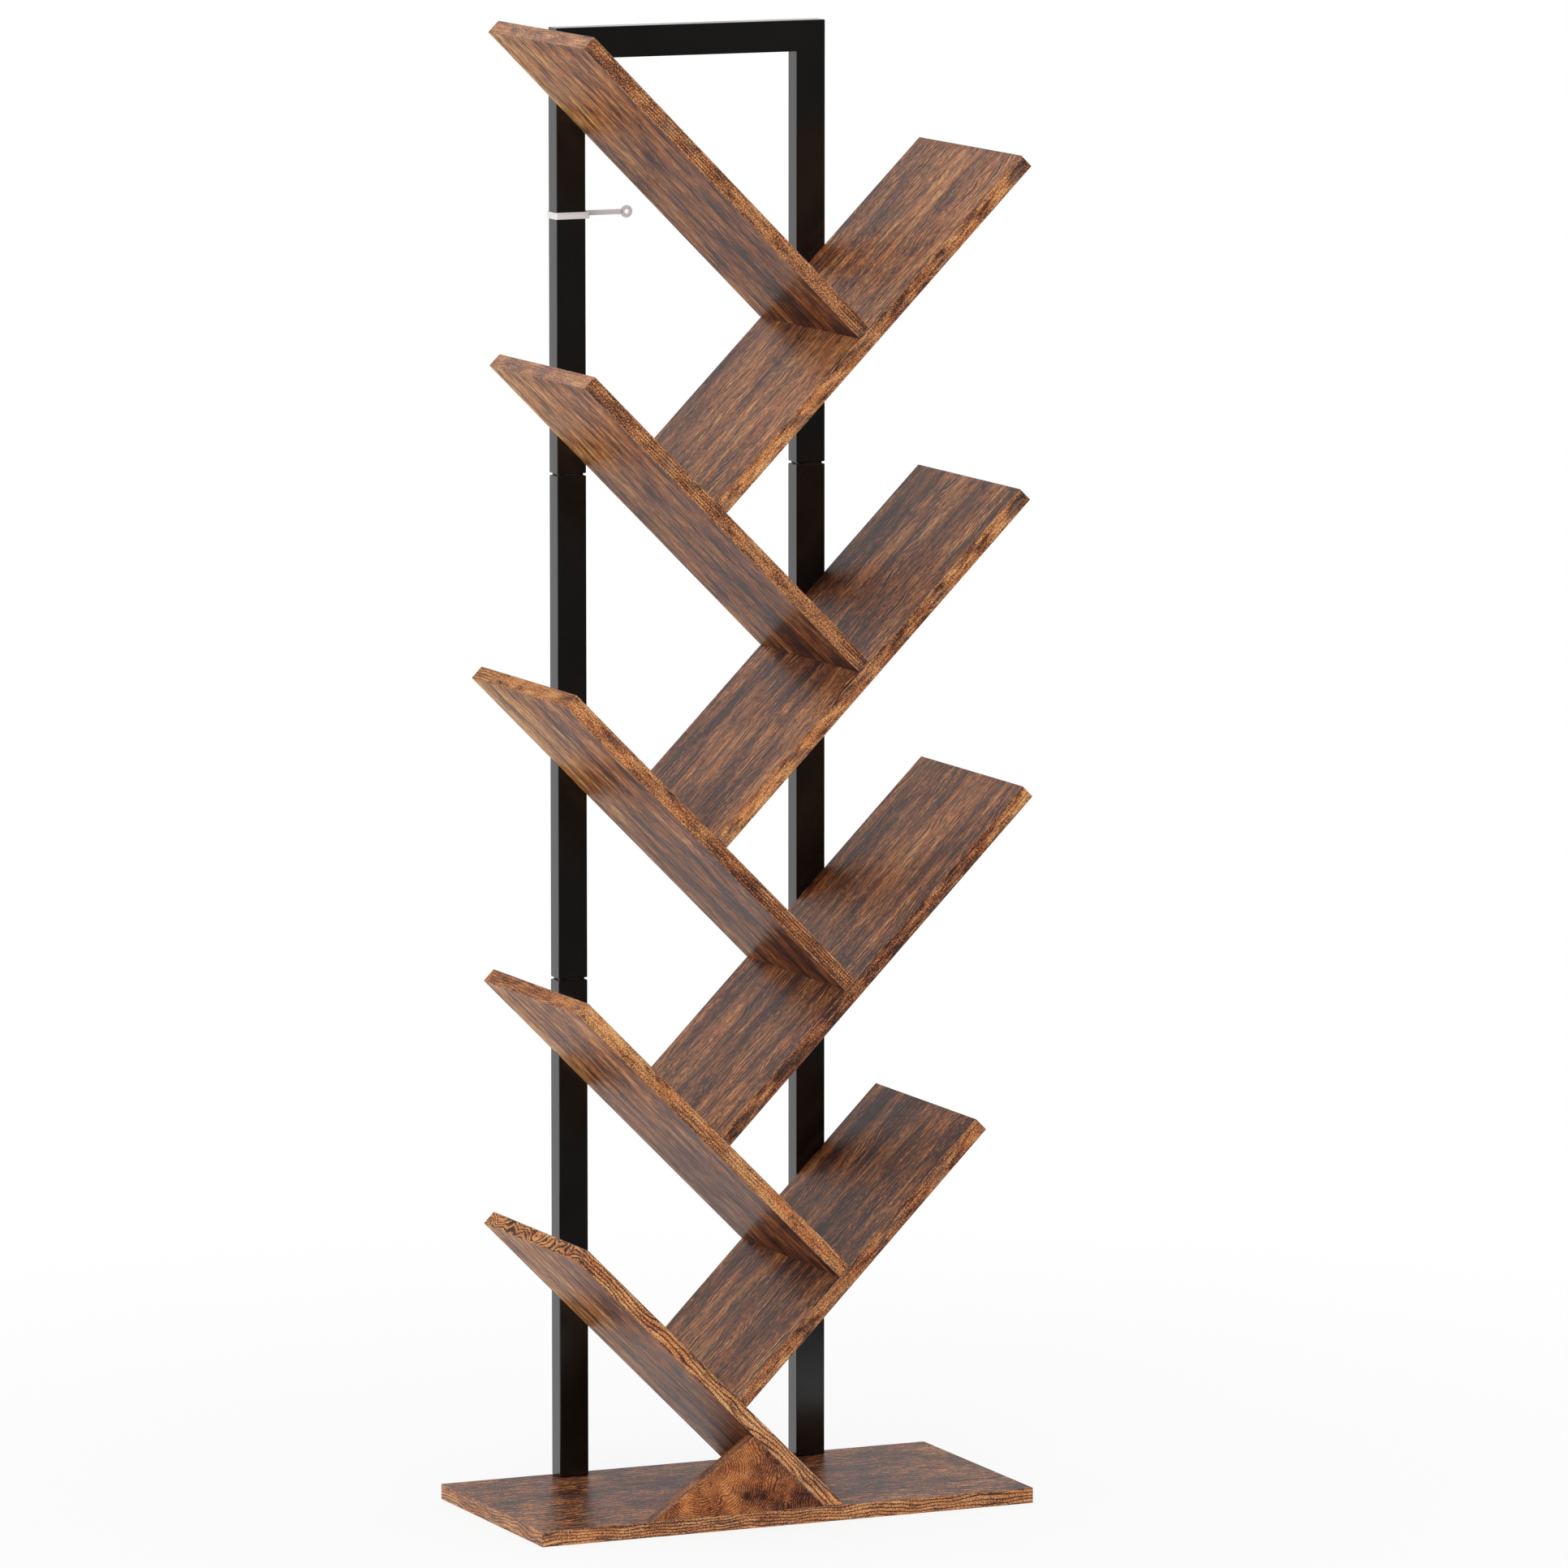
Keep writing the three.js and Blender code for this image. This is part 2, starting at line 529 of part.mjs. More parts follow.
place(bookshelf, "wall_tie", cut(join([tieLoop, tieBuckle, tieTail, tieEye]), [eyeHole]), whiteNylon);

export default bookshelf;
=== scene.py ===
import math

import bmesh
import bpy
from mathutils import Matrix, Vector


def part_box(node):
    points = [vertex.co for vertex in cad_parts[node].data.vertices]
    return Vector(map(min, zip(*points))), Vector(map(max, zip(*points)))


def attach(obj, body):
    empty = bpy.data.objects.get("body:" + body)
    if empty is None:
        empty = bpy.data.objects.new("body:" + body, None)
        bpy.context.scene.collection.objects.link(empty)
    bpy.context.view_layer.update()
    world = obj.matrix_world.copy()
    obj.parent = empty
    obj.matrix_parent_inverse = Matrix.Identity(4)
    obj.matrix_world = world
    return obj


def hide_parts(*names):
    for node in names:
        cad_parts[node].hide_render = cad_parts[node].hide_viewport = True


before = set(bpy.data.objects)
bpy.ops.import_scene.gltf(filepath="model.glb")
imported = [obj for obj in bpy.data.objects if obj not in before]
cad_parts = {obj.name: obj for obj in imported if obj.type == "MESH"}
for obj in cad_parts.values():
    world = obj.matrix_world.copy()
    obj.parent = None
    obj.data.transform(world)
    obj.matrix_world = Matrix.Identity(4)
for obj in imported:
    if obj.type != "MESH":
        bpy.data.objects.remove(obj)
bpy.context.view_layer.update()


# Camera
# A long lens stands to the front left of the shelf, a little above its top,
# and looks slightly down at it.
camera_turn = math.radians(24.149)
camera_dip = math.radians(7.992)
camera_place = (-4.4078, -9.9419, 2.2234)
camera_sensor = 36.0
camera_lens = 264.38
camera_sight = 200.0
camera_data = bpy.data.cameras.new("camera")
camera_data.sensor_width = camera_sensor
camera_data.lens = camera_lens
camera_data.clip_end = camera_sight
camera = bpy.data.objects.new("camera", camera_data)
camera.location = camera_place
camera.rotation_euler = (math.pi / 2 - camera_dip, 0.0, -camera_turn)
bpy.context.scene.collection.objects.link(camera)
bpy.context.scene.camera = camera
bpy.context.scene.view_settings.view_transform = "Standard"


# Studio
# A wide white floor runs out into a white room, which is darker on the side behind the camera,
# so that the black tubes stay black to the front and turn grey on their left sides.
floor_half = 9.0
floor_colour = (0.86, 0.86, 0.86, 1.0)
shadow_reach = 1.6
shadow_share = 0.16
room_white = (1.0, 1.0, 1.0, 1.0)
room_front = (0.10, 0.10, 0.10, 1.0)
room_light = 0.74
dark_side = (0.42, -0.9, 0.0)
key_place = (-2.6, -3.4, 3.6)
key_aim = (0.0, 0.0, 0.7)
key_size = 2.4
key_power = 62.0


class Nodes:
    """A tree of shader nodes: the room's, or one material's."""

    def __init__(self, tree):
        self.tree = tree
        self.tree.nodes.clear()

    def add(self, kind, sockets=None, **settings):
        node = self.tree.nodes.new(kind)
        for key, value in settings.items():
            setattr(node, key, value)
        for key, value in (sockets or {}).items():
            self.put(node.inputs[key], value)
        return node

    def put(self, socket, value):
        if isinstance(value, bpy.types.NodeSocket):
            self.tree.links.new(value, socket)
        else:
            socket.default_value = value

    def maths(self, operation, first, second=0.0, clamp=False):
        sockets = {0: first, 1: second}
        return self.add("ShaderNodeMath", sockets, operation=operation, use_clamp=clamp).outputs[0]

    def mix(self, share, first, second, way="MIX"):
        node = self.add("ShaderNodeMix", data_type="RGBA", blend_type=way)
        for socket, value in zip((node.inputs[0], node.inputs[6], node.inputs[7]), (share, first, second)):
            self.put(socket, value)
        return node.outputs[2]

    def seen_plainly(self):
        """1 for rays that look straight, mirrored or through glass at a surface, and 0 for light from it."""
        path = self.add("ShaderNodeLightPath").outputs
        value = path["Is Camera Ray"]
        for name in ("Is Glossy Ray", "Is Transmission Ray"):
            value = self.maths("MAXIMUM", value, path[name])
        return value


class Finish(Nodes):
    """One material: a Principled shader and the nodes that lead to it."""

    def __init__(self, name):
        self.material = bpy.data.materials.new(name)
        self.material.use_nodes = True
        super().__init__(self.material.node_tree)
        self.end = self.add("ShaderNodeOutputMaterial")
        self.shader = self.add("ShaderNodeBsdfPrincipled")
        self.put(self.end.inputs["Surface"], self.shader.outputs[0])

    def set(self, **sockets):
        for key, value in sockets.items():
            self.put(self.shader.inputs[key.replace("_", " ")], value)

    def place(self):
        return self.add("ShaderNodeTexCoord").outputs["Object"]

    def stretch(self, spot, scale=(1.0, 1.0, 1.0), shift=(0.0, 0.0, 0.0), turn=(0.0, 0.0, 0.0)):
        sockets = {"Vector": spot, "Location": shift, "Rotation": turn, "Scale": scale}
        return self.add("ShaderNodeMapping", sockets).outputs["Vector"]

    def noise(self, spot, scale, detail=2.0, roughness=0.5, output="Fac"):
        sockets = {"Vector": self.stretch(spot, scale), "Scale": 1.0}
        sockets.update({"Detail": detail, "Roughness": roughness})
        return self.add("ShaderNodeTexNoise", sockets).outputs[output]

    def drift(self, spot, scale, reach):
        """The place pushed about by a slow noise, by up to half of reach each way."""
        push = self.noise(spot, scale, 2.0, output="Color")
        centred = self.add("ShaderNodeVectorMath", {0: push, 1: (0.5, 0.5, 0.5)}, operation="SUBTRACT")
        sockets = {0: centred.outputs[0], 1: reach, 2: spot}
        return self.add("ShaderNodeVectorMath", sockets, operation="MULTIPLY_ADD").outputs[0]

    def ramp(self, value, stops):
        node = self.add("ShaderNodeValToRGB", {"Fac": value})
        elements = node.color_ramp.elements
        while len(elements) < len(stops):
            elements.new(1.0)
        for element, (position, colour) in zip(elements, stops):
            element.position = position
            element.color = colour if hasattr(colour, "__len__") else (colour, colour, colour, 1.0)
        return node.outputs["Color"]

    def sway(self, base, *parts):
        """The base value moved up and down by each noise, weighed, about its middle."""
        for value, weight in parts:
            sockets = {0: self.maths("SUBTRACT", value, 0.5), 1: weight, 2: base}
            base = self.add("ShaderNodeMath", sockets, operation="MULTIPLY_ADD").outputs[0]
        return base

    def stripes(self, field, sharp=0.35):
        """One dark line for each whole number of the field, thinner than the gap between lines."""
        wave = self.maths("SINE", self.maths("MULTIPLY", field, 2.0 * math.pi))
        return self.ramp(wave, [(sharp, 0.0), (1.0, 1.0)])

    def bump(self, height, depth, strength=1.0):
        sockets = {"Height": height, "Distance": depth, "Strength": strength}
        self.put(self.shader.inputs["Normal"], self.add("ShaderNodeBump", sockets).outputs[0])


def make_floor():
    mesh = bpy.data.meshes.new("studio_floor")
    bm = bmesh.new()
    bmesh.ops.create_grid(bm, x_segments=24, y_segments=24, size=floor_half)
    bm.to_mesh(mesh)
    bm.free()
    floor = bpy.data.objects.new("studio_floor", mesh)
    bpy.context.scene.collection.objects.link(floor)
    finish = Finish("floor_white")
    place = finish.place()
    speckle = finish.noise(place, (3.0, 3.0, 3.0), 3.0)
    matt = finish.ramp(speckle, [(0.0, 0.5), (1.0, 0.6)])
    finish.set(Base_Color=floor_colour, Roughness=matt, Specular_IOR_Level=0.0)
    # Seen plainly, the floor is white, and the shelf's shadow shows on it as a share that fades outwards.
    away = finish.add("ShaderNodeVectorMath", {0: place}, operation="LENGTH").outputs["Value"]
    fade = finish.maths("DIVIDE", away, shadow_reach, clamp=True)
    keep = finish.maths("MULTIPLY", finish.maths("SUBTRACT", 1.0, fade), shadow_share)
    straight = finish.add("ShaderNodeLightPath").outputs["Is Camera Ray"]
    keep = finish.maths("MULTIPLY", keep, straight)
    # Mirrored in the tubes, its part in front of the shelf is as dark as that side of the room.
    ahead = finish.add("ShaderNodeVectorMath", {0: place, 1: dark_side}, operation="DOT_PRODUCT")
    edges = {"Value": ahead.outputs["Value"], "From Min": 0.2, "From Max": 0.8}
    front = finish.add("ShaderNodeMapRange", edges).outputs[0]
    mirrored = finish.mix(front, room_white, room_front)
    white = finish.mix(straight, mirrored, room_white)
    glow = finish.add("ShaderNodeEmission", {"Color": white, "Strength": 1.0})
    shown = finish.maths("MULTIPLY", finish.maths("SUBTRACT", 1.0, keep), finish.seen_plainly())
    both = finish.add("ShaderNodeMixShader", {0: shown, 1: finish.shader.outputs[0], 2: glow.outputs[0]})
    finish.put(finish.end.inputs["Surface"], both.outputs[0])
    mesh.materials.append(finish.material)


def make_room():
    world = bpy.data.worlds.new("studio_room")
    bpy.context.scene.world = world
    world.use_nodes = True
    room = Nodes(world.node_tree)
    # Mirrored, the room is dark to the front and right, and white everywhere else.
    direction = room.add("ShaderNodeTexCoord").outputs["Generated"]
    toward = room.add("ShaderNodeVectorMath", {0: direction, 1: dark_side}, operation="DOT_PRODUCT")
    edges = {"Value": toward.outputs["Value"], "From Min": 0.25, "From Max": 0.75}
    front = room.add("ShaderNodeMapRange", edges, interpolation_type="SMOOTHSTEP").outputs[0]
    mirrored = room.mix(front, room_white, room_front)
    straight = room.add("ShaderNodeLightPath").outputs["Is Camera Ray"]
    white = room.mix(straight, mirrored, room_white)
    given = room.add("ShaderNodeBackground", {"Color": room_white, "Strength": room_light})
    shown = room.add("ShaderNodeBackground", {"Color": white, "Strength": 1.0})
    plainly = room.seen_plainly()
    both = room.add("ShaderNodeMixShader", {0: plainly, 1: given.outputs[0], 2: shown.outputs[0]})
    room.add("ShaderNodeOutputWorld", {"Surface": both.outputs[0]})


def make_lamp(name, place, aim, size, power):
    lamp_data = bpy.data.lights.new(name, "AREA")
    lamp_data.shape = "DISK"
    lamp_data.size = size
    lamp_data.energy = power
    lamp = bpy.data.objects.new(name, lamp_data)
    lamp.location = place
    lamp.rotation_euler = (Vector(aim) - Vector(place)).to_track_quat("-Z", "Y").to_euler()
    bpy.context.scene.collection.objects.link(lamp)


make_floor()
make_room()
make_lamp("key_lamp", key_place, key_aim, key_size, key_power)


# Base board
# Fifteen millimetre particle board in a rustic brown wood print, with banded edges.
# It lies flat on the floor and carries the trunk, the gusset and both posts.
base_width = 0.512
base_depth = 0.250
board_depth = 0.230
arris = 0.0005
sharp_angle = math.radians(30.0)
longest_rim_edge = 0.012
largest_hole_face = 4e-4
onto_end = (0.0, 0.0, math.radians(-90.0))
dark_grain = (0.028, 0.016, 0.014, 1.0)
slate_grain = (0.075, 0.060, 0.064, 1.0)
print_gloss = 0.04
figure_sway = 0.045
band_sway = 14.0
rust_tint = (1.0, 0.84, 0.76, 1.0)
all_along = [(0.0, 1.0), (1.0, 1.0)]
wood_tones = [
    (0.08, (0.030, 0.016, 0.014, 1.0)), (0.28, (0.112, 0.043, 0.028, 1.0)),
    (0.46, (0.315, 0.108, 0.046, 1.0)), (0.64, (0.570, 0.222, 0.074, 1.0)),
    (0.84, (0.800, 0.385, 0.130, 1.0)), (1.0, (0.900, 0.560, 0.260, 1.0))]


def rusted(finish, place, colour):
    """The colour turned redder in broad patches."""
    patches = finish.ramp(finish.noise(place, (20.0, 60.0, 60.0), 2.0), [(0.45, 0.0), (0.60, 0.85)])
    return finish.mix(patches, colour, rust_tint, "MULTIPLY")


def laminate(name, seed, length, shades, lean=0.0, gold=0.0, streak=36.0, figure=0.0062, flame=(0.5, 0.5),
             smoke=0.5, depth=1.1, mottle=0.0, coarse=0.5, straight=1.3, fine=2.0, knots=4.5, run=1.0,
             gloss=print_gloss):
    """Printed wood on a broad face: dark, rust and gold tones, fine fibres, wavy figure lines and pores.
    The shades are stops along the board. Lean makes it paler towards the back, and gold is how much more so
    near the head; this is partly the print's gold figure and partly a painted sheen. Streak is how short the
    fibres are.
    Figure is how far apart the dark lines lie, flame is how strong they are at the front and at the back,
    and knots is how often they bend along the board.
    Depth, mottle, coarse, straight and fine are how much the clouds, patches, fibres, strands and hairs
    differ, smoke is how much is slate, and run is how much shorter all of it is drawn."""
    finish = Finish(name)
    spot = finish.place()
    place = finish.stretch(spot, (run, 1.0, 1.0), seed)
    place = finish.drift(place, (8.0, 22.0, 22.0), (0.0, 0.009, 0.009))
    flat = finish.add("ShaderNodeSeparateXYZ", {0: spot}).outputs
    across = finish.add("ShaderNodeSeparateXYZ", {0: place}).outputs[1]
    down = finish.maths("DIVIDE", flat[0], length)
    back = finish.maths("DIVIDE", flat[1], board_depth)
    # Paler towards the back, and more so near the head: partly the print's gold figure, partly a painted
    # sheen.
    paler = finish.maths("MULTIPLY", finish.maths("SUBTRACT", flat[1], board_depth / 2.0), lean)
    slope = finish.maths("ADD", finish.ramp(down, shades), paler)
    head = finish.ramp(down, [(0.2, gold), (0.45, gold * 0.42)])
    back_gold_and_sheen = finish.ramp(back, [(0.5, 0.0), (1.0, 1.0)])
    slope = finish.maths("ADD", slope, finish.maths("MULTIPLY", head, back_gold_and_sheen))
    tone = finish.noise(place, (7.0, 32.0, 32.0), 4.0, 0.58)
    fibre = finish.noise(place, (streak, 260.0, 260.0), 3.0, 0.6)
    strand = finish.noise(place, (9.0, 330.0, 330.0), 3.0, 0.68)
    hair = finish.noise(place, (streak * 4.0, 900.0, 900.0), 3.0, 0.7)
    patch = finish.noise(place, (26.0, 62.0, 62.0), 3.0, 0.55)
    level = finish.sway(slope, (tone, depth), (patch, mottle), (fibre, coarse), (strand, straight),
                        (hair, fine))
    # Figure: dark lines that follow the fibres, in places curled, and broken up along their length.
    bend = finish.noise(place, (knots, 19.0, 19.0), 1.5, 0.45)
    rows = finish.sway(finish.maths("DIVIDE", across, figure), (bend, figure_sway / figure))
    lines = finish.stripes(rows, 0.2)
    broken = finish.ramp(finish.noise(place, (22.0, 90.0, 90.0), 2.0), [(0.40, 0.1), (0.56, 1.0)])
    share = finish.ramp(back, [(0.25, flame[0]), (0.75, flame[1])])
    lines = finish.maths("MULTIPLY", finish.maths("MULTIPLY", lines, broken), share)
    level = finish.maths("SUBTRACT", level, finish.maths("MULTIPLY", lines, 0.6))
    colour = rusted(finish, place, finish.ramp(level, wood_tones))
    smear = finish.noise(place, (20.0, 170.0, 170.0), 4.0, 0.68)
    smear = finish.ramp(finish.sway(smear, (tone, -0.4)), [(0.55, 0.0), (0.62, 0.7)])
    colour = finish.mix(smear, colour, dark_grain)
    pores = finish.ramp(finish.noise(place, (60.0, 800.0, 800.0), 1.0), [(0.56, 0.0), (0.63, 0.85)])
    colour = finish.mix(pores, colour, dark_grain)
    cool = finish.sway(finish.noise(place, (13.0, 62.0, 62.0), 3.0, 0.6), (strand, 0.7))
    cool = finish.ramp(cool, [(0.66 - 0.16 * smoke, 0.0), (0.80 - 0.16 * smoke, 0.6)])
    colour = finish.mix(cool, colour, slate_grain)
    sheen = finish.ramp(fibre, [(0.3, 0.27), (0.7, 0.40)])
    finish.set(Base_Color=colour, Roughness=sheen, Specular_IOR_Level=gloss)
    finish.bump(finish.maths("SUBTRACT", finish.maths("ADD", fibre, hair), pores), 0.0002, 0.35)
    return finish.material


def banding(name, seed, length, shades, veins, pitch=0.0026, curl=0.3, knots=15.0, ink=0.56, cool=0.5,
            soot=0.57, grain=(1.1, 2.6, 1.1), gloss=0.3, turns=()):
    """Edge band: fine flecks, slate patches and wavy dark lines along the edge.
    The shades and the veins are stops along the band: how pale it is, and where its lines are strong.
    The lines lie a pitch apart, ink is how dark they are, and curl and knots are how far and how often they
    bend. Cool is how much is slate, less soot gives more dark smears, grain is how much the clouds, flecks
    and strands differ, and the turns lay the band along its edge."""
    finish = Finish(name)
    spot = finish.place()
    for turn in turns:
        spot = finish.stretch(spot, turn=turn)
    place = finish.stretch(spot, shift=seed)
    share = finish.maths("DIVIDE", finish.add("ShaderNodeSeparateXYZ", {0: spot}).outputs[0], length)
    height = finish.add("ShaderNodeSeparateXYZ", {0: place}).outputs[2]
    tone = finish.noise(place, (26.0, 90.0, 90.0), 4.0, 0.66)
    fleck = finish.noise(place, (620.0, 1000.0, 1000.0), 2.0, 0.7)
    strand = finish.noise(place, (40.0, 520.0, 520.0), 3.0, 0.66)
    level = finish.sway(finish.ramp(share, shades), (tone, grain[0]), (fleck, grain[1]), (strand, grain[2]))
    bend = finish.noise(place, (knots, 34.0, 34.0), 2.0, 0.45)
    rows = finish.sway(finish.maths("DIVIDE", height, pitch), (bend, band_sway * curl))
    lines = finish.stripes(rows, 0.1)
    thin = finish.ramp(strand, [(0.34, 0.35), (0.60, 1.0)])
    lines = finish.maths("MULTIPLY", finish.maths("MULTIPLY", lines, thin), finish.ramp(share, veins))
    level = finish.maths("SUBTRACT", level, finish.maths("MULTIPLY", lines, ink))
    colour = rusted(finish, place, finish.ramp(level, wood_tones))
    smear = finish.noise(place, (70.0, 190.0, 190.0), 4.0, 0.7)
    smear = finish.ramp(finish.sway(smear, (tone, -0.5)), [(soot, 0.0), (soot + 0.09, 0.7)])
    colour = finish.mix(smear, colour, dark_grain)
    specks = finish.ramp(finish.noise(place, (480.0, 1000.0, 1000.0), 2.0, 0.6), [(0.58, 0.0), (0.64, 0.85)])
    colour = finish.mix(specks, colour, dark_grain)
    grey = finish.noise(place, (28.0, 70.0, 70.0), 3.0, 0.6)
    grey = finish.ramp(grey, [(0.64 - 0.16 * cool, 0.0), (0.80 - 0.16 * cool, 0.6)])
    colour = finish.mix(grey, colour, slate_grain)
    sheen = finish.ramp(fleck, [(0.3, 0.36), (0.7, 0.50)])
    finish.set(Base_Color=colour, Roughness=sheen, Specular_IOR_Level=gloss)
    finish.bump(finish.maths("SUBTRACT", fleck, lines), 0.0002, 0.45)
    return finish.material


def chipboard():
    """Raw particle board inside the drilled holes and on sawn faces: pale chips pressed together."""
    finish = Finish("chipboard")
    place = finish.place()
    sockets = {"Vector": finish.stretch(place, (420.0, 420.0, 900.0)), "Scale": 1.0}
    chips = finish.add("ShaderNodeTexVoronoi", sockets).outputs["Color"]
    shade = finish.ramp(chips, [(0.1, (0.20, 0.12, 0.065, 1.0)), (0.9, (0.52, 0.38, 0.23, 1.0))])
    finish.set(Base_Color=shade, Roughness=0.85)
    finish.bump(finish.noise(place, (900.0, 900.0, 900.0), 3.0), 0.0003, 0.6)
    return finish.material


def worn_and_highlit_arris():
    """The narrow rounding on every edge, where band and face meet: painted paler as a highlight, with worn
    dark nicks.
    """
    finish = Finish("worn_and_highlit_arris")
    place = finish.place()
    nicks = finish.noise(place, (160.0, 160.0, 160.0), 3.0, 0.6)
    # The pale stops are a painted highlight along the rounding, and the dark stops are worn nicks.
    colour = finish.ramp(nicks, [(0.38, (0.07, 0.03, 0.018, 1.0)), (0.50, (0.30, 0.14, 0.07, 1.0)),
                                 (0.66, (0.58, 0.36, 0.20, 1.0))])
    finish.set(Base_Color=colour, Roughness=0.5)
    finish.bump(nicks, 0.0001, 0.5)
    return finish.material


raw_board = chipboard()
edge_line = worn_and_highlit_arris()
# Where each material stands in a board's list of them
on_face, on_front, on_end, in_hole, on_arris = range(5)


def whole_faces(mesh):
    """The CAD solid's facets joined into whole faces."""
    bm = bmesh.new()
    bm.from_mesh(mesh)
    bmesh.ops.remove_doubles(bm, verts=bm.verts, dist=1e-6)
    bmesh.ops.dissolve_limit(bm, angle_limit=math.radians(1.0), verts=bm.verts, edges=bm.edges)
    return bm


def soften_long_edges(bm):
    """Marks the long sharp edges for rounding, and leaves the rims of drilled holes sharp."""
    weight = bm.edges.layers.float.new("bevel_weight_edge")
    for edge in bm.edges:
        sharp = len(edge.link_faces) == 2 and edge.calc_face_angle(0.0) > sharp_angle
        rounded = sharp and edge.calc_length() > longest_rim_edge
        edge[weight] = 1.0 if rounded else 0.0
        edge.smooth = rounded or not sharp


def round_edges(piece, width, segments):
    rounding = piece.modifiers.new("rounding", "BEVEL")
    rounding.width = width
    rounding.segments = segments
    rounding.limit_method = "WEIGHT"
    rounding.use_clamp_overlap = False
    return rounding


def timber(node, turn, face, front, end, broad=2):
    """A board with the CAD solid's own shape, laid along its grain so that its print follows it.
    Broad is the axis across its two faces. They get the print, narrow sides their bands, drilled holes
    raw board, and edges a fine rounding."""
    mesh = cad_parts[node].data.copy()
    stand = Matrix.Rotation(turn, 4, "Y")
    mesh.transform(stand.inverted())
    low = Vector([min(v.co[i] for v in mesh.vertices) for i in range(3)])
    size = Vector([max(v.co[i] for v in mesh.vertices) for i in range(3)]) - low
    mesh.transform(Matrix.Translation(-low))
    mesh.materials.clear()
    for material in (face, front, end, raw_board, edge_line):
        mesh.materials.append(material)
    bm = whole_faces(mesh)
    narrow = [i for i in range(3) if i != broad]
    for side in bm.faces:
        side.smooth = False
        axis = max(range(3), key=lambda i: abs(side.normal[i]))
        middle = side.calc_center_median()[axis]
        outer = min(abs(middle), abs(middle - size[axis])) < 1e-5 and abs(side.normal[axis]) > 0.999
        if outer and axis == broad:
            side.material_index = on_face
        elif outer and axis == narrow[1]:
            side.material_index = on_front
        elif outer and axis == narrow[0]:
            side.material_index = on_end
        else:
            side.material_index = in_hole if side.calc_area() < largest_hole_face else on_end
    soften_long_edges(bm)
    bm.to_mesh(mesh)
    bm.free()
    piece = bpy.data.objects.new(node + "_board", mesh)
    bpy.context.scene.collection.objects.link(piece)
    piece.matrix_world = stand @ Matrix.Translation(low)
    round_edges(piece, arris, 2).material = on_arris
    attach(piece, "root")
    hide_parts(node)


timber(
    "base_board",
    0.0,
    laminate("base_print", (0.31, 0.12, 0.0), base_width, [(0.0, 0.50), (0.5, 0.44), (1.0, 0.46)],
             figure=0.0080, flame=(0.9, 1.0), smoke=0.7, depth=0.9, coarse=1.2, straight=0.8, run=2.2),
    banding("base_front_band", (0.7, 0.0, 0.3), base_width,
            [(0.0, 0.74), (0.1, 0.66), (0.2, 0.58), (0.5, 0.66), (0.7, 0.74), (0.85, 0.66), (1.0, 0.74)],
            [(0.0, 0.9), (1.0, 1.0)], pitch=0.0033, curl=0.35, ink=0.7, cool=0.0),
    banding("base_end_band", (0.2, 0.5, 0.0), base_depth,
            [(0.0, 0.68), (0.45, 0.66), (0.7, 0.58), (1.0, 0.72)],
            all_along, pitch=0.0033, curl=0.4, cool=0.0, turns=[onto_end]),
)


# Gusset
# A triangle of the same board stands on the base board under the trunk, flush with the front.
# One screw comes up into it from below and one through the trunk.
gusset_low, gusset_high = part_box("base_gusset")
gusset_foot = 0.178
gusset_run = 0.1043
gusset_slope = 0.128
gusset_rise = math.atan2(gusset_high.z - gusset_low.z, gusset_run)
even = [(0.0, 0.5), (1.0, 0.5)]
curl_centre = (0.055, 0.0, 0.045)
curl_pitch = 0.0023
curl_sway = 0.028
onto_front = (math.radians(-90.0), 0.0, 0.0)


def curled(name, length, shades):
    """The gusset's print: fine dark lines in curls, like a fingerprint, on rust and gold clouds."""
    finish = Finish(name)
    spot = finish.place()
    place = finish.stretch(spot, shift=(1.9, 0.8, 0.4))
    along = finish.add("ShaderNodeSeparateXYZ", {0: spot}).outputs[0]
    tone = finish.noise(place, (34.0, 34.0, 34.0), 4.0, 0.62)
    grit = finish.noise(place, (620.0, 620.0, 620.0), 3.0, 0.7)
    level = finish.ramp(finish.maths("DIVIDE", along, length), shades)
    level = finish.sway(level, (tone, 1.2), (grit, 1.4))
    away = finish.add("ShaderNodeVectorMath", {0: spot, 1: curl_centre}, operation="DISTANCE")
    rings = finish.maths("DIVIDE", away.outputs["Value"], curl_pitch)
    bend = finish.noise(place, (26.0, 26.0, 26.0), 2.0, 0.5)
    broken = finish.ramp(grit, [(0.40, 0.3), (0.56, 1.0)])
    lines = finish.stripes(finish.sway(rings, (bend, curl_sway / curl_pitch)), 0.0)
    lines = finish.maths("MULTIPLY", lines, broken)
    level = finish.maths("SUBTRACT", level, finish.maths("MULTIPLY", lines, 0.34))
    colour = rusted(finish, place, finish.ramp(level, wood_tones))
    char = finish.noise(place, (90.0, 90.0, 90.0), 4.0, 0.7)
    char = finish.ramp(finish.sway(char, (tone, -0.6)), [(0.58, 0.0), (0.66, 0.7)])
    colour = finish.mix(char, colour, dark_grain)
    sheen = finish.ramp(grit, [(0.3, 0.30), (0.7, 0.44)])
    finish.set(Base_Color=colour, Roughness=sheen, Specular_IOR_Level=print_gloss)
    finish.bump(finish.maths("SUBTRACT", grit, lines), 0.0002, 0.4)
    return finish.material


timber(
    "base_gusset",
    0.0,
    curled("gusset_print", gusset_foot, [(0.0, 0.35), (0.18, 0.57), (0.5, 0.52), (0.8, 0.46), (1.0, 0.31)]),
    raw_board,
    banding("gusset_band", (2.9, 0.1, 0.0), gusset_slope, even, all_along, curl=0.1,
            turns=[(0.0, gusset_rise, 0.0), onto_front]),
    broad=1,
)


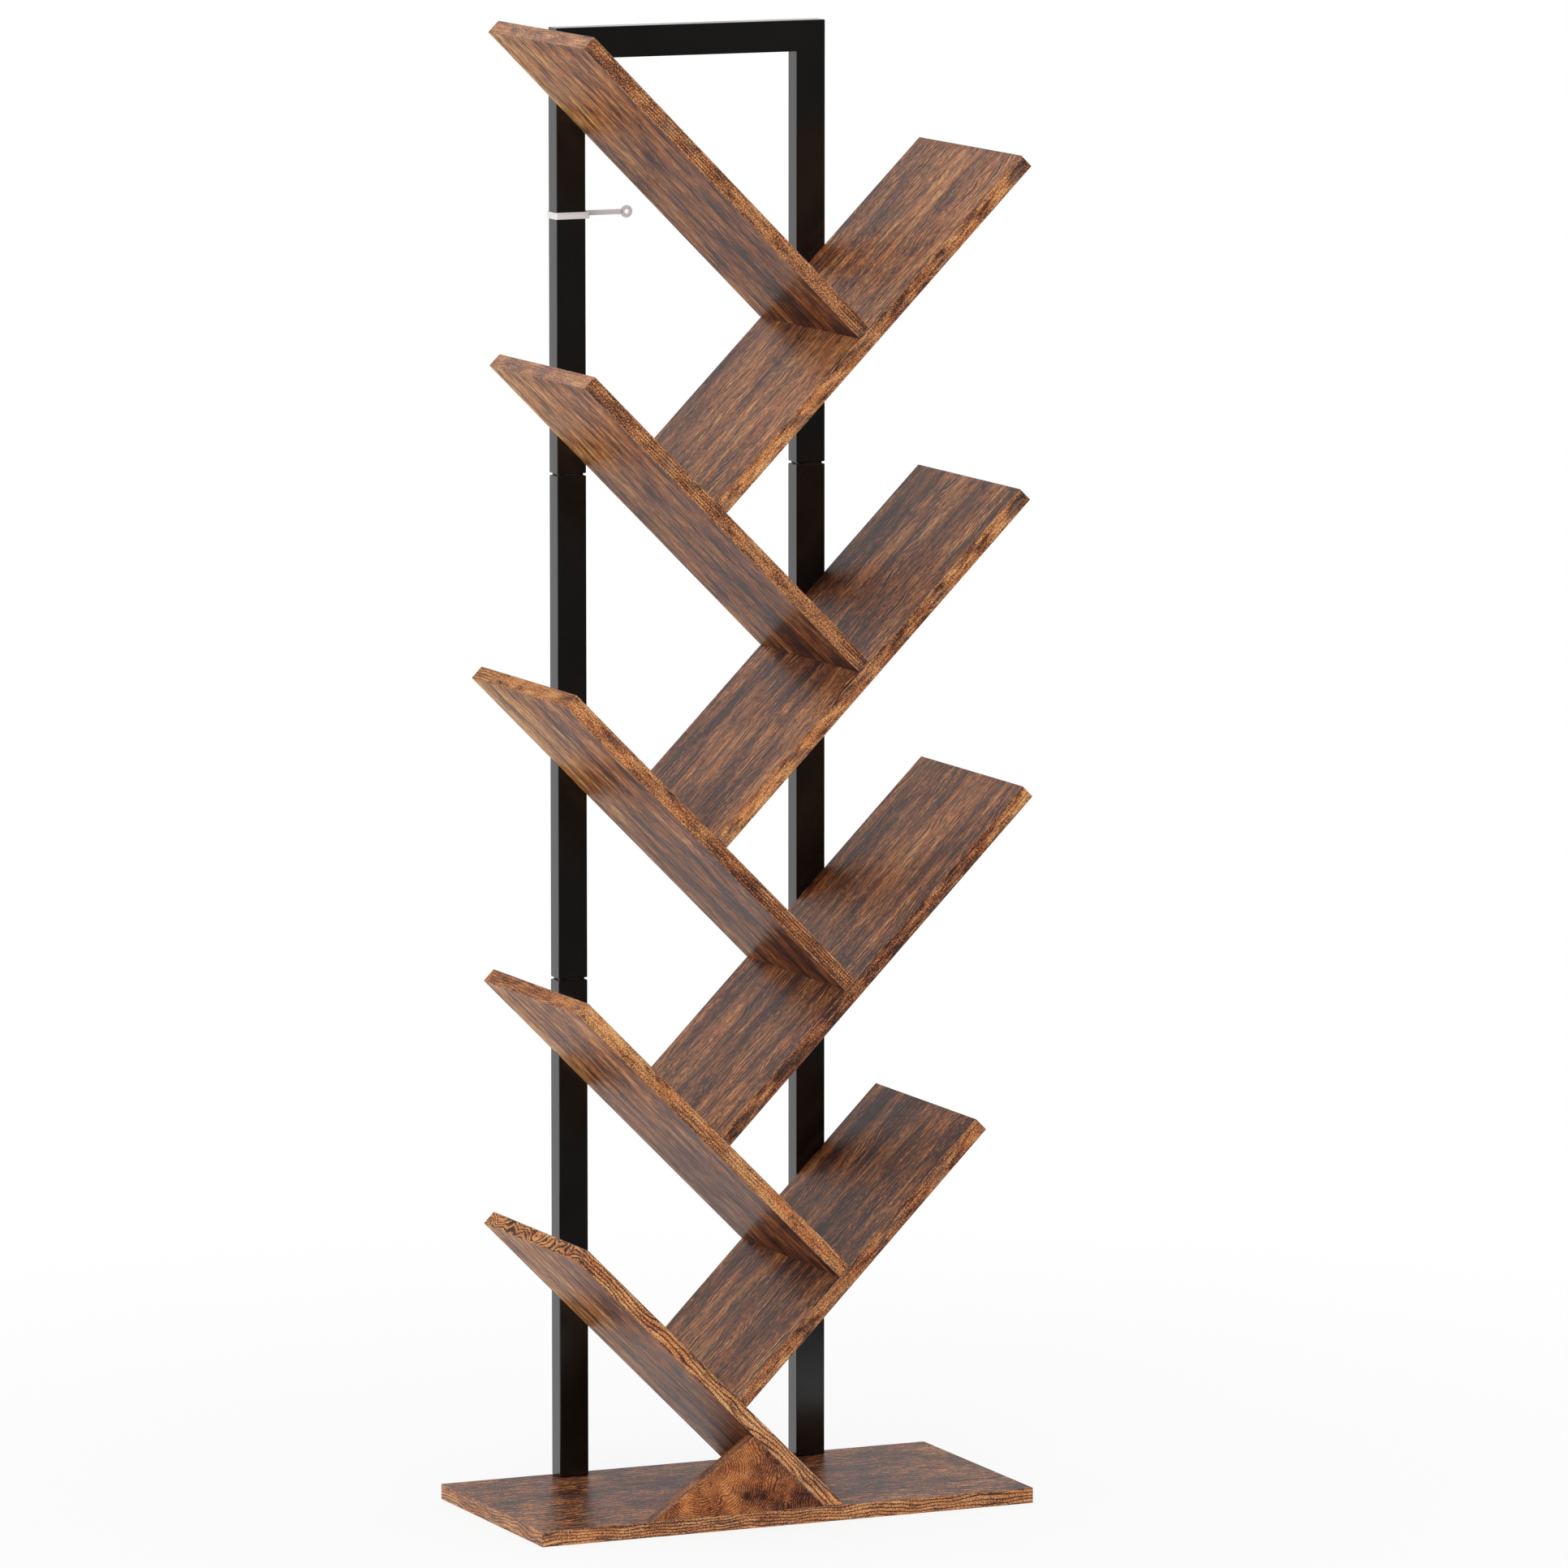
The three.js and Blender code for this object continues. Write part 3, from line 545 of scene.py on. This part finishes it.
# Left boards
# Five boards fall from upper left to lower right. The lowest is the trunk and stands on the base board,
# and each of the others ends square against the face of a right board.
shelf_turn = math.radians(45.0)
left_length = 0.400
upper_edge = {
    "shades": [(0.0, 0.42), (0.12, 0.44), (0.16, 0.60), (0.42, 0.60), (0.46, 0.42), (0.52, 0.62),
               (0.70, 0.55), (0.76, 0.50), (1.0, 0.52)],
    "veins": [(0.12, 0.0), (0.16, 0.8), (0.44, 0.9), (0.48, 0.2), (0.9, 0.1), (0.94, 0.8)],
    "curl": 0.15,
}
left_edges = {
    1: upper_edge,
    2: upper_edge,
    3: {
        "shades": [(0.0, 0.66), (0.25, 0.60), (0.32, 0.54), (0.48, 0.50), (0.66, 0.40), (0.8, 0.58),
                   (1.0, 0.52)],
        "veins": [(0.0, 0.2), (0.55, 0.1), (0.68, 0.9), (1.0, 0.9)],
        "curl": 0.2,
    },
    4: {
        "shades": [(0.0, 0.72), (0.15, 0.70), (0.25, 0.64), (0.5, 0.66), (0.6, 0.72), (0.8, 0.60),
                   (1.0, 0.58)],
        "veins": [(0.0, 0.1), (0.3, 0.1), (0.4, 0.6), (0.6, 0.5), (0.7, 0.1)],
        "pitch": 0.0035,
        "curl": 0.2,
    },
    5: {
        "shades": [(0.0, 0.68), (0.2, 0.73), (0.6, 0.78), (0.85, 0.72), (1.0, 0.74)],
        "veins": all_along,
        "pitch": 0.0042,
        "curl": 0.42,
        "ink": 0.70,
    },
}
# The band over each board's upper end, from its front to its back
pinkish = {
    "shades": [(0.0, 0.62), (0.3, 0.52), (0.5, 0.58), (0.7, 0.50), (1.0, 0.58)],
    "veins": [(0.4, 0.0), (0.5, 0.8), (0.6, 0.0), (0.9, 0.0), (1.0, 0.7)],
    "cool": 0.8,
    "gloss": 0.4,
}
end_edges = {
    1: pinkish,
    2: pinkish,
    3: {
        "shades": [(0.0, 0.48), (0.2, 0.62), (0.7, 0.70), (1.0, 0.72)],
        "veins": [(0.7, 0.1), (0.85, 1.0)],
        "pitch": 0.0030,
        "curl": 0.2,
        "cool": 0.2,
        "gloss": 0.04,
    },
    4: {
        "shades": [(0.0, 0.72), (0.4, 0.60), (0.6, 0.50), (1.0, 0.58)],
        "veins": [(0.0, 0.2), (0.6, 0.6)],
        "pitch": 0.0030,
        "gloss": 0.06,
    },
    5: {
        "shades": [(0.0, 0.62), (0.3, 0.76), (0.7, 0.72), (1.0, 0.76)],
        "veins": all_along,
        "pitch": 0.0056,
        "curl": 0.7,
        "knots": 30.0,
        "ink": 0.86,
        "cool": 0.0,
        "gloss": 0.04,
    },
}
for number in range(1, 6):
    # The upper two boards have the same print and the same front band.
    print_seed = 1 if number == 2 else number
    timber(
        f"left_shelf_{number}",
        shelf_turn,
        # Lean and gold make the back and head paler: partly gold print, partly a painted sheen.
        laminate(f"left_print_{number}", (0.43 * print_seed, 0.0, 0.0), left_length,
                 [(0.0, 0.61), (0.4, 0.57), (0.65, 0.50), (1.0, 0.41)], lean=0.55, gold=0.28,
                 flame=(0.3, 1.1), mottle=1.1, straight=1.1, fine=1.3, gloss=0.022),
        banding(f"left_band_{number}", (0.9 * print_seed, 0.0, 0.37), left_length, **left_edges[number]),
        banding(f"left_end_band_{number}", (0.9 * number, 0.3, 0.0), board_depth, **end_edges[number],
                turns=[onto_end]),
    )


# Right boards
# Four boards rise from lower left to upper right. Each stands on the left board below it,
# and the left board beside it butts against its upper face.
right_length = 0.450
right_edge_length = 0.446
speckled = [(0.0, 0.63), (0.18, 0.62), (0.28, 0.56), (0.5, 0.52), (0.56, 0.40), (0.66, 0.48), (0.82, 0.62),
            (0.93, 0.58), (1.0, 0.40)]
right_edges = (
    speckled,
    speckled,
    [(0.0, 0.44), (0.22, 0.36), (0.45, 0.36), (0.6, 0.38), (0.8, 0.36), (0.9, 0.48), (1.0, 0.60)],
    [(0.0, 0.58), (0.3, 0.52), (0.45, 0.48), (0.6, 0.48), (0.75, 0.54), (1.0, 0.60)],
)
for number, edge_shades in enumerate(right_edges, start=1):
    # The upper two boards have the same front band.
    band_seed = 1 if number == 2 else number
    timber(
        f"right_shelf_{number}",
        -shelf_turn,
        laminate(f"right_print_{number}", (0.61 * number, 0.4, 0.0), right_length,
                 [(0.0, 0.55), (0.5, 0.50), (1.0, 0.52)], streak=60.0, figure=0.0042, flame=(1.1, 1.1),
                 smoke=0.3, depth=1.4, coarse=0.8, straight=0.7, knots=13.0, gloss=0.14),
        banding(f"right_band_{number}", (1.3 * band_seed, 0.0, 0.11), right_edge_length, edge_shades,
                [(0.0, 0.1), (1.0, 0.1)], cool=0.8, soot=0.54, grain=(1.4, 2.2, 1.5)),
        banding(f"right_end_band_{number}", (1.3 * number, 0.6, 0.0), board_depth, even,
                [(0.0, 0.2), (1.0, 0.2)], turns=[onto_end]),
    )


# Tube frame
# Thirty by twenty steel tube in smooth black gloss paint. The top section is a welded arch,
# and two straight posts stand under each of its legs, down to the base board.
tube_rounding = 0.0010


def black_gloss():
    finish = Finish("black_gloss")
    place = finish.place()
    ripple = finish.noise(place, (160.0, 160.0, 160.0), 2.0, 0.5)
    haze = finish.noise(place, (9.0, 9.0, 9.0), 3.0, 0.6)
    black = finish.ramp(haze, [(0.35, (0.0060, 0.0054, 0.0048, 1.0)), (0.65, (0.0084, 0.0076, 0.0068, 1.0))])
    finish.set(Base_Color=black, IOR=1.58, Roughness=finish.ramp(haze, [(0.35, 0.16), (0.65, 0.22)]))
    finish.bump(ripple, 0.00002, 0.35)
    return finish.material


def finished_copy(node, name, material, rounding):
    """The CAD solid's own shape with rounded edges, in one finish."""
    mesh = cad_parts[node].data.copy()
    mesh.materials.clear()
    mesh.materials.append(material)
    bm = whole_faces(mesh)
    for side in bm.faces:
        side.smooth = True
        side.material_index = 0
    soften_long_edges(bm)
    bm.to_mesh(mesh)
    bm.free()
    piece = bpy.data.objects.new(name, mesh)
    bpy.context.scene.collection.objects.link(piece)
    round_edges(piece, rounding, 3)
    shading = piece.modifiers.new("shading", "WEIGHTED_NORMAL")
    shading.keep_sharp = True
    shading.weight = 100
    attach(piece, "root")
    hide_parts(node)


frame_paint = black_gloss()
frame_sections = ["frame_top_section"]
for level in ("middle", "lower"):
    frame_sections += [f"frame_{level}_post_{side}" for side in ("left", "right")]
for section in frame_sections:
    finished_copy(section, section + "_tube", frame_paint, tube_rounding)


# Post connectors
# Moulded black nylon plugs join the tube sections. Each is pushed into both tubes,
# and the stop round its middle shows in the narrow seam between them.
plug_rounding = 0.0003


def black_nylon():
    finish = Finish("black_nylon")
    place = finish.place()
    grain = finish.noise(place, (1500.0, 1500.0, 1500.0), 2.0, 0.6)
    finish.set(Base_Color=finish.ramp(grain, [(0.3, 0.010), (0.7, 0.018)]), Roughness=0.5)
    finish.bump(grain, 0.00003, 0.5)
    return finish.material


plug_finish = black_nylon()
for level in ("upper", "lower"):
    for side in ("left", "right"):
        finished_copy(f"post_connector_{level}_{side}", f"post_plug_{level}_{side}", plug_finish,
                      plug_rounding)


# Frame bolts
# Button head bolts in blackened steel go through each post from behind into the back edge of a board.
# They have a hexagon socket, a plain shank through the tube and a coarse thread in the board.
bolt_sides = 36
bolt_crown = 0.0034
bolt_head = 0.0055
bolt_head_height = 0.0032
bolt_shank = 0.003
bolt_root = 0.0022
bolt_tube = 0.020
bolt_reach = 0.050
bolt_thread = bolt_head_height + bolt_tube
bolt_end = bolt_head_height + bolt_reach
bolt_socket = 0.0023
socket_depth = 0.002
thread_pitch = 0.0025
turn_rings = 4
fading_rings = 3
chamfer = 0.0002
crease_angle = math.radians(35.0)
into_board = Vector((0.0, -1.0, 0.0))


def circle(radius):
    turns = [2.0 * math.pi * step / bolt_sides for step in range(bolt_sides)]
    return [(radius * math.cos(turn), radius * math.sin(turn)) for turn in turns]


def hexagon(radius):
    """A hexagon's outline in as many points as a circle's, with a point on each corner."""
    sector = math.pi / 3.0
    outline = []
    for step in range(bolt_sides):
        turn = 2.0 * math.pi * step / bolt_sides
        reach = radius * math.cos(sector / 2.0) / math.cos(turn % sector - sector / 2.0)
        outline.append((reach * math.cos(turn), reach * math.sin(turn)))
    return outline


def raised(outline, height):
    return [(x, y, height) for x, y in outline]


def lathe(rings):
    """Rings for pairs of radius and height."""
    return [raised(circle(radius), height) for radius, height in rings]


def thread(root, crest, start, end):
    """A helical thread as rings, a few to each turn, that fades in and out at its ends."""
    count = int((end - start) / (thread_pitch / turn_rings))
    rings = []
    for level in range(count + 1):
        fade = min(1.0, level / fading_rings, (count - level) / fading_rings)
        ring = []
        for step in range(bolt_sides):
            phase = (level / turn_rings - step / bolt_sides) % 1.0
            ridge = max(0.0, 1.0 - 4.0 * abs(phase - 0.5)) * fade
            radius = root + (crest - root) * ridge
            turn = 2.0 * math.pi * step / bolt_sides
            height = start + (end - start) * level / count
            ring.append((radius * math.cos(turn), radius * math.sin(turn), height))
        rings.append(ring)
    return rings


def skin(bm, rings, closed=False):
    """Faces from ring to ring. Open ends get a fan, and a closed run joins its last ring to its first."""
    loops = [[bm.verts.new(point) for point in ring] for ring in rings]
    pairs = list(zip(loops, loops[1:])) + ([(loops[-1], loops[0])] if closed else [])
    for first, second in pairs:
        for here in range(len(first)):
            after = (here + 1) % len(first)
            bm.faces.new((first[here], first[after], second[after], second[here]))
    if not closed:
        for loop in (loops[0], loops[-1]):
            hub = bm.verts.new(sum((vert.co for vert in loop), Vector()) / len(loop))
            for here in range(len(loop)):
                bm.faces.new((loop[here], loop[(here + 1) % len(loop)], hub))


def made(bm, name, material, nodes):
    """A finished piece from a mesh in the shelf's own frame."""
    bmesh.ops.recalc_face_normals(bm, faces=bm.faces)
    for side in bm.faces:
        side.smooth = True
    for edge in bm.edges:
        edge.smooth = edge.calc_face_angle(0.0) < crease_angle
    mesh = bpy.data.meshes.new(name)
    bm.to_mesh(mesh)
    bm.free()
    mesh.materials.append(material)
    piece = bpy.data.objects.new(name, mesh)
    bpy.context.scene.collection.objects.link(piece)
    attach(piece, "root")
    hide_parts(*nodes)


def entry_point(node, axis):
    """The middle of the face at which the CAD fastener begins, seen along its axis."""
    places = {tuple(round(value, 6) for value in vertex.co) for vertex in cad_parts[node].data.vertices}
    places = [Vector(place) for place in places]
    nearest = min(place.dot(axis) for place in places)
    face = [place for place in places if place.dot(axis) - nearest < 1e-5]
    return sum(face, Vector()) / len(face)


def fastener(node, name, axis, rings, material):
    """Rings turned along +Z from zero, laid along the axis from where the CAD fastener begins."""
    bm = bmesh.new()
    skin(bm, rings)
    aim = Vector((0.0, 0.0, 1.0)).rotation_difference(axis).to_matrix().to_4x4()
    bm.transform(Matrix.Translation(entry_point(node, axis)) @ aim)
    made(bm, name, material, [node])


def socket_rings(radius, depth, rim):
    """The hexagon socket from its drilled floor up to the flat ring round it."""
    return [
        raised(circle(radius * 0.25), depth * 1.3),
        raised(circle(radius * 0.8), depth),
        raised(hexagon(radius), depth),
        raised(hexagon(radius), chamfer),
        raised(hexagon(radius + chamfer), 0.0),
        raised(circle(rim), 0.0),
    ]


def metal(name, colours, roughness, grain=700.0):
    """Plated or blackened steel: a slightly clouded colour with fine tool marks."""
    finish = Finish(name)
    place = finish.place()
    cloud = finish.noise(place, (220.0, 220.0, 220.0), 3.0, 0.6)
    marks = finish.noise(place, (grain, grain, grain), 2.0, 0.6)
    finish.set(Base_Color=finish.ramp(cloud, [(0.35, colours[0]), (0.65, colours[1])]), Metallic=1.0)
    finish.set(Roughness=finish.ramp(marks, [(0.3, roughness[0]), (0.7, roughness[1])]))
    finish.bump(marks, 0.00002, 0.5)
    return finish.material


black_bolt = metal("black_bolt", ((0.030, 0.029, 0.028, 1.0), (0.060, 0.058, 0.056, 1.0)), (0.30, 0.46))
dome = [(bolt_crown + (bolt_head - bolt_crown) * math.sin(step * math.pi / 12.0),
         bolt_head_height * 0.66 * (1.0 - math.cos(step * math.pi / 12.0))) for step in range(7)]
bolt_rings = socket_rings(bolt_socket, socket_depth, bolt_crown) + lathe(dome[1:] + [
    (bolt_head, bolt_head_height - chamfer),
    (bolt_head - chamfer, bolt_head_height),
    (bolt_shank, bolt_head_height),
    (bolt_shank, bolt_thread),
]) + thread(bolt_root, bolt_shank, bolt_thread + 0.0005, bolt_end - 0.001) + lathe([
    (bolt_root * 0.6, bolt_end),
])
for side, count in (("left", 5), ("right", 4)):
    for number in range(1, count + 1):
        node = f"frame_bolt_{side}_{number}"
        fastener(node, f"button_bolt_{side}_{number}", into_board, bolt_rings, black_bolt)


# Screws
# Zinc plated countersunk screws with hexagon sockets hold each left board to a right one,
# the trunk to the base board, and the gusset. Two of them bolt the posts down.
zinc_plate = metal("zinc_plate", ((0.50, 0.51, 0.52, 1.0), (0.68, 0.68, 0.66, 1.0)), (0.24, 0.42))
diagonal = math.sin(shelf_turn)
up = Vector((0.0, 0.0, 1.0))
up_left = Vector((-diagonal, 0.0, diagonal))
down_left = Vector((-diagonal, 0.0, -diagonal))


def screw_rings(head, head_depth, collar, collar_end, crest, length, tip, socket):
    """A countersunk screw: socket, flat head, cone, plain collar, thread and point."""
    root = crest * 0.72
    return socket_rings(socket, socket_depth, head - 0.0003) + lathe([
        (head, chamfer),
        (head, 0.0005),
        (collar, head_depth),
        (collar, collar_end - 0.0004),
        (root, collar_end),
    ]) + thread(root, crest, collar_end + 0.0002, length - tip) + lathe([
        (root * 0.25, length),
    ])


shelf_screw = screw_rings(head=0.005, head_depth=0.003, collar=0.0035, collar_end=0.014,
                          crest=0.0025, length=0.050, tip=0.003, socket=0.0022)
foot_screw = screw_rings(head=0.004, head_depth=0.0025, collar=0.0022, collar_end=0.014,
                         crest=0.0018, length=0.027, tip=0.002, socket=0.0016)
post_bolt = screw_rings(head=0.006, head_depth=0.0035, collar=0.003, collar_end=0.014,
                        crest=0.0028, length=0.024, tip=0.001, socket=0.0026)
screws = []
for number in range(1, 5):
    screws += [(f"shelf_screw_{number}_{row}", up_left, shelf_screw) for row in ("front", "back")]
screws += [(f"foot_screw_{row}", up, foot_screw) for row in ("front", "back")]
screws += [("gusset_screw_base", up, shelf_screw), ("gusset_screw_shelf", down_left, shelf_screw)]
screws += [(f"post_bolt_{side}", up, post_bolt) for side in ("left", "right")]
for node, axis, rings in screws:
    fastener(node, node + "_turned", axis, rings, zinc_plate)


# Cam locks and cam bolts
# Cast zinc drums sit flush in the underside of each right board's foot, with a cross slot to turn them.
# Each grips the head of a steel bolt that stands in the left board below.
cam_radius = 0.0075
cam_depth = 0.012
cam_rounding = 0.0003
slot_reach = 0.004
slot_half = 0.001
slot_depth = 0.0025


def cross(reach, half):
    """A cross slot's outline: nine points a quarter turn, from the middle of one arm's end to the next."""
    quarter = [(reach, 0.0), (reach, half)]
    quarter += [(reach + (half - reach) * step / 3.0, half) for step in range(1, 4)]
    quarter += [(half, half + (reach - half) * step / 4.0) for step in range(1, 5)]
    outline = []
    for turn in range(4):
        c, s = round(math.cos(turn * math.pi / 2.0)), round(math.sin(turn * math.pi / 2.0))
        outline += [(c * x - s * y, s * x + c * y) for x, y in quarter]
    return outline


cast_zinc = metal("cast_zinc", ((0.42, 0.42, 0.42, 1.0), (0.60, 0.60, 0.59, 1.0)), (0.36, 0.55), 380.0)
cam_rings = [
    raised(cross(slot_reach, slot_half), slot_depth),
    raised(cross(slot_reach, slot_half), chamfer),
    raised(cross(slot_reach + chamfer, slot_half + chamfer), 0.0),
] + lathe([
    (cam_radius * 0.84, 0.0),
    (cam_radius * 0.87, cam_rounding),
    (cam_radius * 0.92, cam_rounding),
    (cam_radius * 0.95, 0.0),
    (cam_radius - cam_rounding, 0.0),
    (cam_radius, cam_rounding),
    (cam_radius, cam_depth - cam_rounding),
    (cam_radius - cam_rounding, cam_depth),
])
for number in range(1, 5):
    for row in ("front", "back"):
        node = f"cam_lock_{number}_{row}"
        fastener(node, f"cam_drum_{number}_{row}", up_left, cam_rings, cast_zinc)
        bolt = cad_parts[f"cam_bolt_{number}_{row}"]
        for place in bolt.material_slots:
            place.material = zinc_plate


# Wall tie
# A white nylon band with raised rims loops tightly round the left post. Behind the post it passes
# through a buckle, and its toothed tail ends in an eye for the screw in the wall.
tie_low = Vector((-0.1417, 0.1033))
tie_high = Vector((-0.1061, 0.1267))
tie_middle = 1.236
tie_half = 0.00325
tie_thickness = 0.0014
tie_corner = 0.0024
tie_groove = 0.00035
tail_half = 0.0025
tail_start = -0.125
tail_end = -0.063
tail_back = 0.1281
teeth = 78
tooth_dips = (0.00045, 0.0002)
eye_middle = -0.0581
eye_radius = 0.006
eye_hole = 0.0022
eye_rounding = 0.0004
eye_dish = 0.0009
eye_back = 0.1293
buckle_low = Vector((-0.130, 0.1253, tie_middle - 0.0045))
buckle_high = Vector((-0.120, 0.1293, tie_middle + 0.0045))
buckle_wall = 0.0018
buckle_window = 0.0012
buckle_rounding = 0.0006


def band_section(half, thickness, groove):
    """The band's section: distance out from its outer face, and height. Two rims stand by its groove."""
    edge = 0.0003
    rim = 0.0011
    upper = [(-groove, half - rim - edge), (0.0, half - rim), (0.0, half - edge), (-edge, half),
             (edge - thickness, half), (-thickness, half - edge)]
    return upper + [(out, -height) for out, height in reversed(upper)]


def loop_path():
    """Points round the post with their outward directions."""
    corners = [
        (Vector((tie_high.x, tie_low.y)), -0.5), (tie_high, 0.0),
        (Vector((tie_low.x, tie_high.y)), 0.5), (tie_low, 1.0)]
    centre = (tie_low + tie_high) / 2.0
    path = []
    for corner, start in corners:
        inward = Vector([math.copysign(tie_corner, way) for way in centre - corner])
        for step in range(9):
            turn = (start + step / 16.0) * math.pi
            out = Vector((math.cos(turn), math.sin(turn)))
            path.append((corner + inward + out * tie_corner, out))
    return path


def white_moulding():
    finish = Finish("white_nylon")
    place = finish.place()
    cloud = finish.noise(place, (150.0, 150.0, 150.0), 3.0, 0.6)
    grain = finish.noise(place, (1600.0, 1600.0, 1600.0), 2.0, 0.6)
    finish.set(Base_Color=finish.ramp(cloud, [(0.35, 0.93), (0.65, 0.97)]))
    finish.set(Roughness=finish.ramp(grain, [(0.3, 0.32), (0.7, 0.48)]))
    finish.bump(grain, 0.00002, 0.4)
    return finish.material


bm = bmesh.new()
loop_section = band_section(tie_half, tie_thickness, tie_groove)
skin(bm, [[(spot.x + way.x * out, spot.y + way.y * out, tie_middle + height) for out, height in loop_section]
          for spot, way in loop_path()], closed=True)
tail_rings = []
for tooth in range(teeth + 1):
    along = tail_start + (tail_end - tail_start) * tooth / teeth
    section = band_section(tail_half, tie_thickness, tooth_dips[tooth % 2])
    tail_rings.append([(along, tail_back + out, tie_middle + height) for out, height in section])
skin(bm, tail_rings)
eye_front = tail_back - tie_thickness
eye_profile = [
    (eye_hole, eye_front + 0.0003), (eye_hole + 0.0003, eye_front),
    (eye_radius - eye_rounding, eye_front), (eye_radius, eye_front + eye_rounding),
    (eye_radius, eye_back - eye_rounding), (eye_radius - eye_rounding, eye_back),
    (eye_radius * 0.6, eye_back), (eye_hole, eye_back - eye_dish)]
skin(bm, [[(eye_middle + x, along, tie_middle + z) for x, z in circle(radius)]
          for radius, along in eye_profile], closed=True)
cube = bmesh.ops.create_cube(bm, size=1.0)["verts"]
for vert in cube:
    for i in range(3):
        vert.co[i] = buckle_low[i] + (vert.co[i] + 0.5) * (buckle_high[i] - buckle_low[i])
buckle_sides = {side for vert in cube for side in vert.link_faces}
buckle_back = max(buckle_sides, key=lambda side: side.calc_center_median().y)
bmesh.ops.inset_individual(bm, faces=[buckle_back], thickness=buckle_wall, depth=0.0)
bmesh.ops.inset_individual(bm, faces=[buckle_back], thickness=0.0003, depth=-buckle_window)
block_edges = [edge for edge in bm.edges if set(edge.verts) <= set(cube)]
bmesh.ops.bevel(bm, geom=block_edges, offset=buckle_rounding, segments=3, profile=0.5, affect="EDGES")
made(bm, "wall_tie_band", white_moulding(), ["wall_tie"])
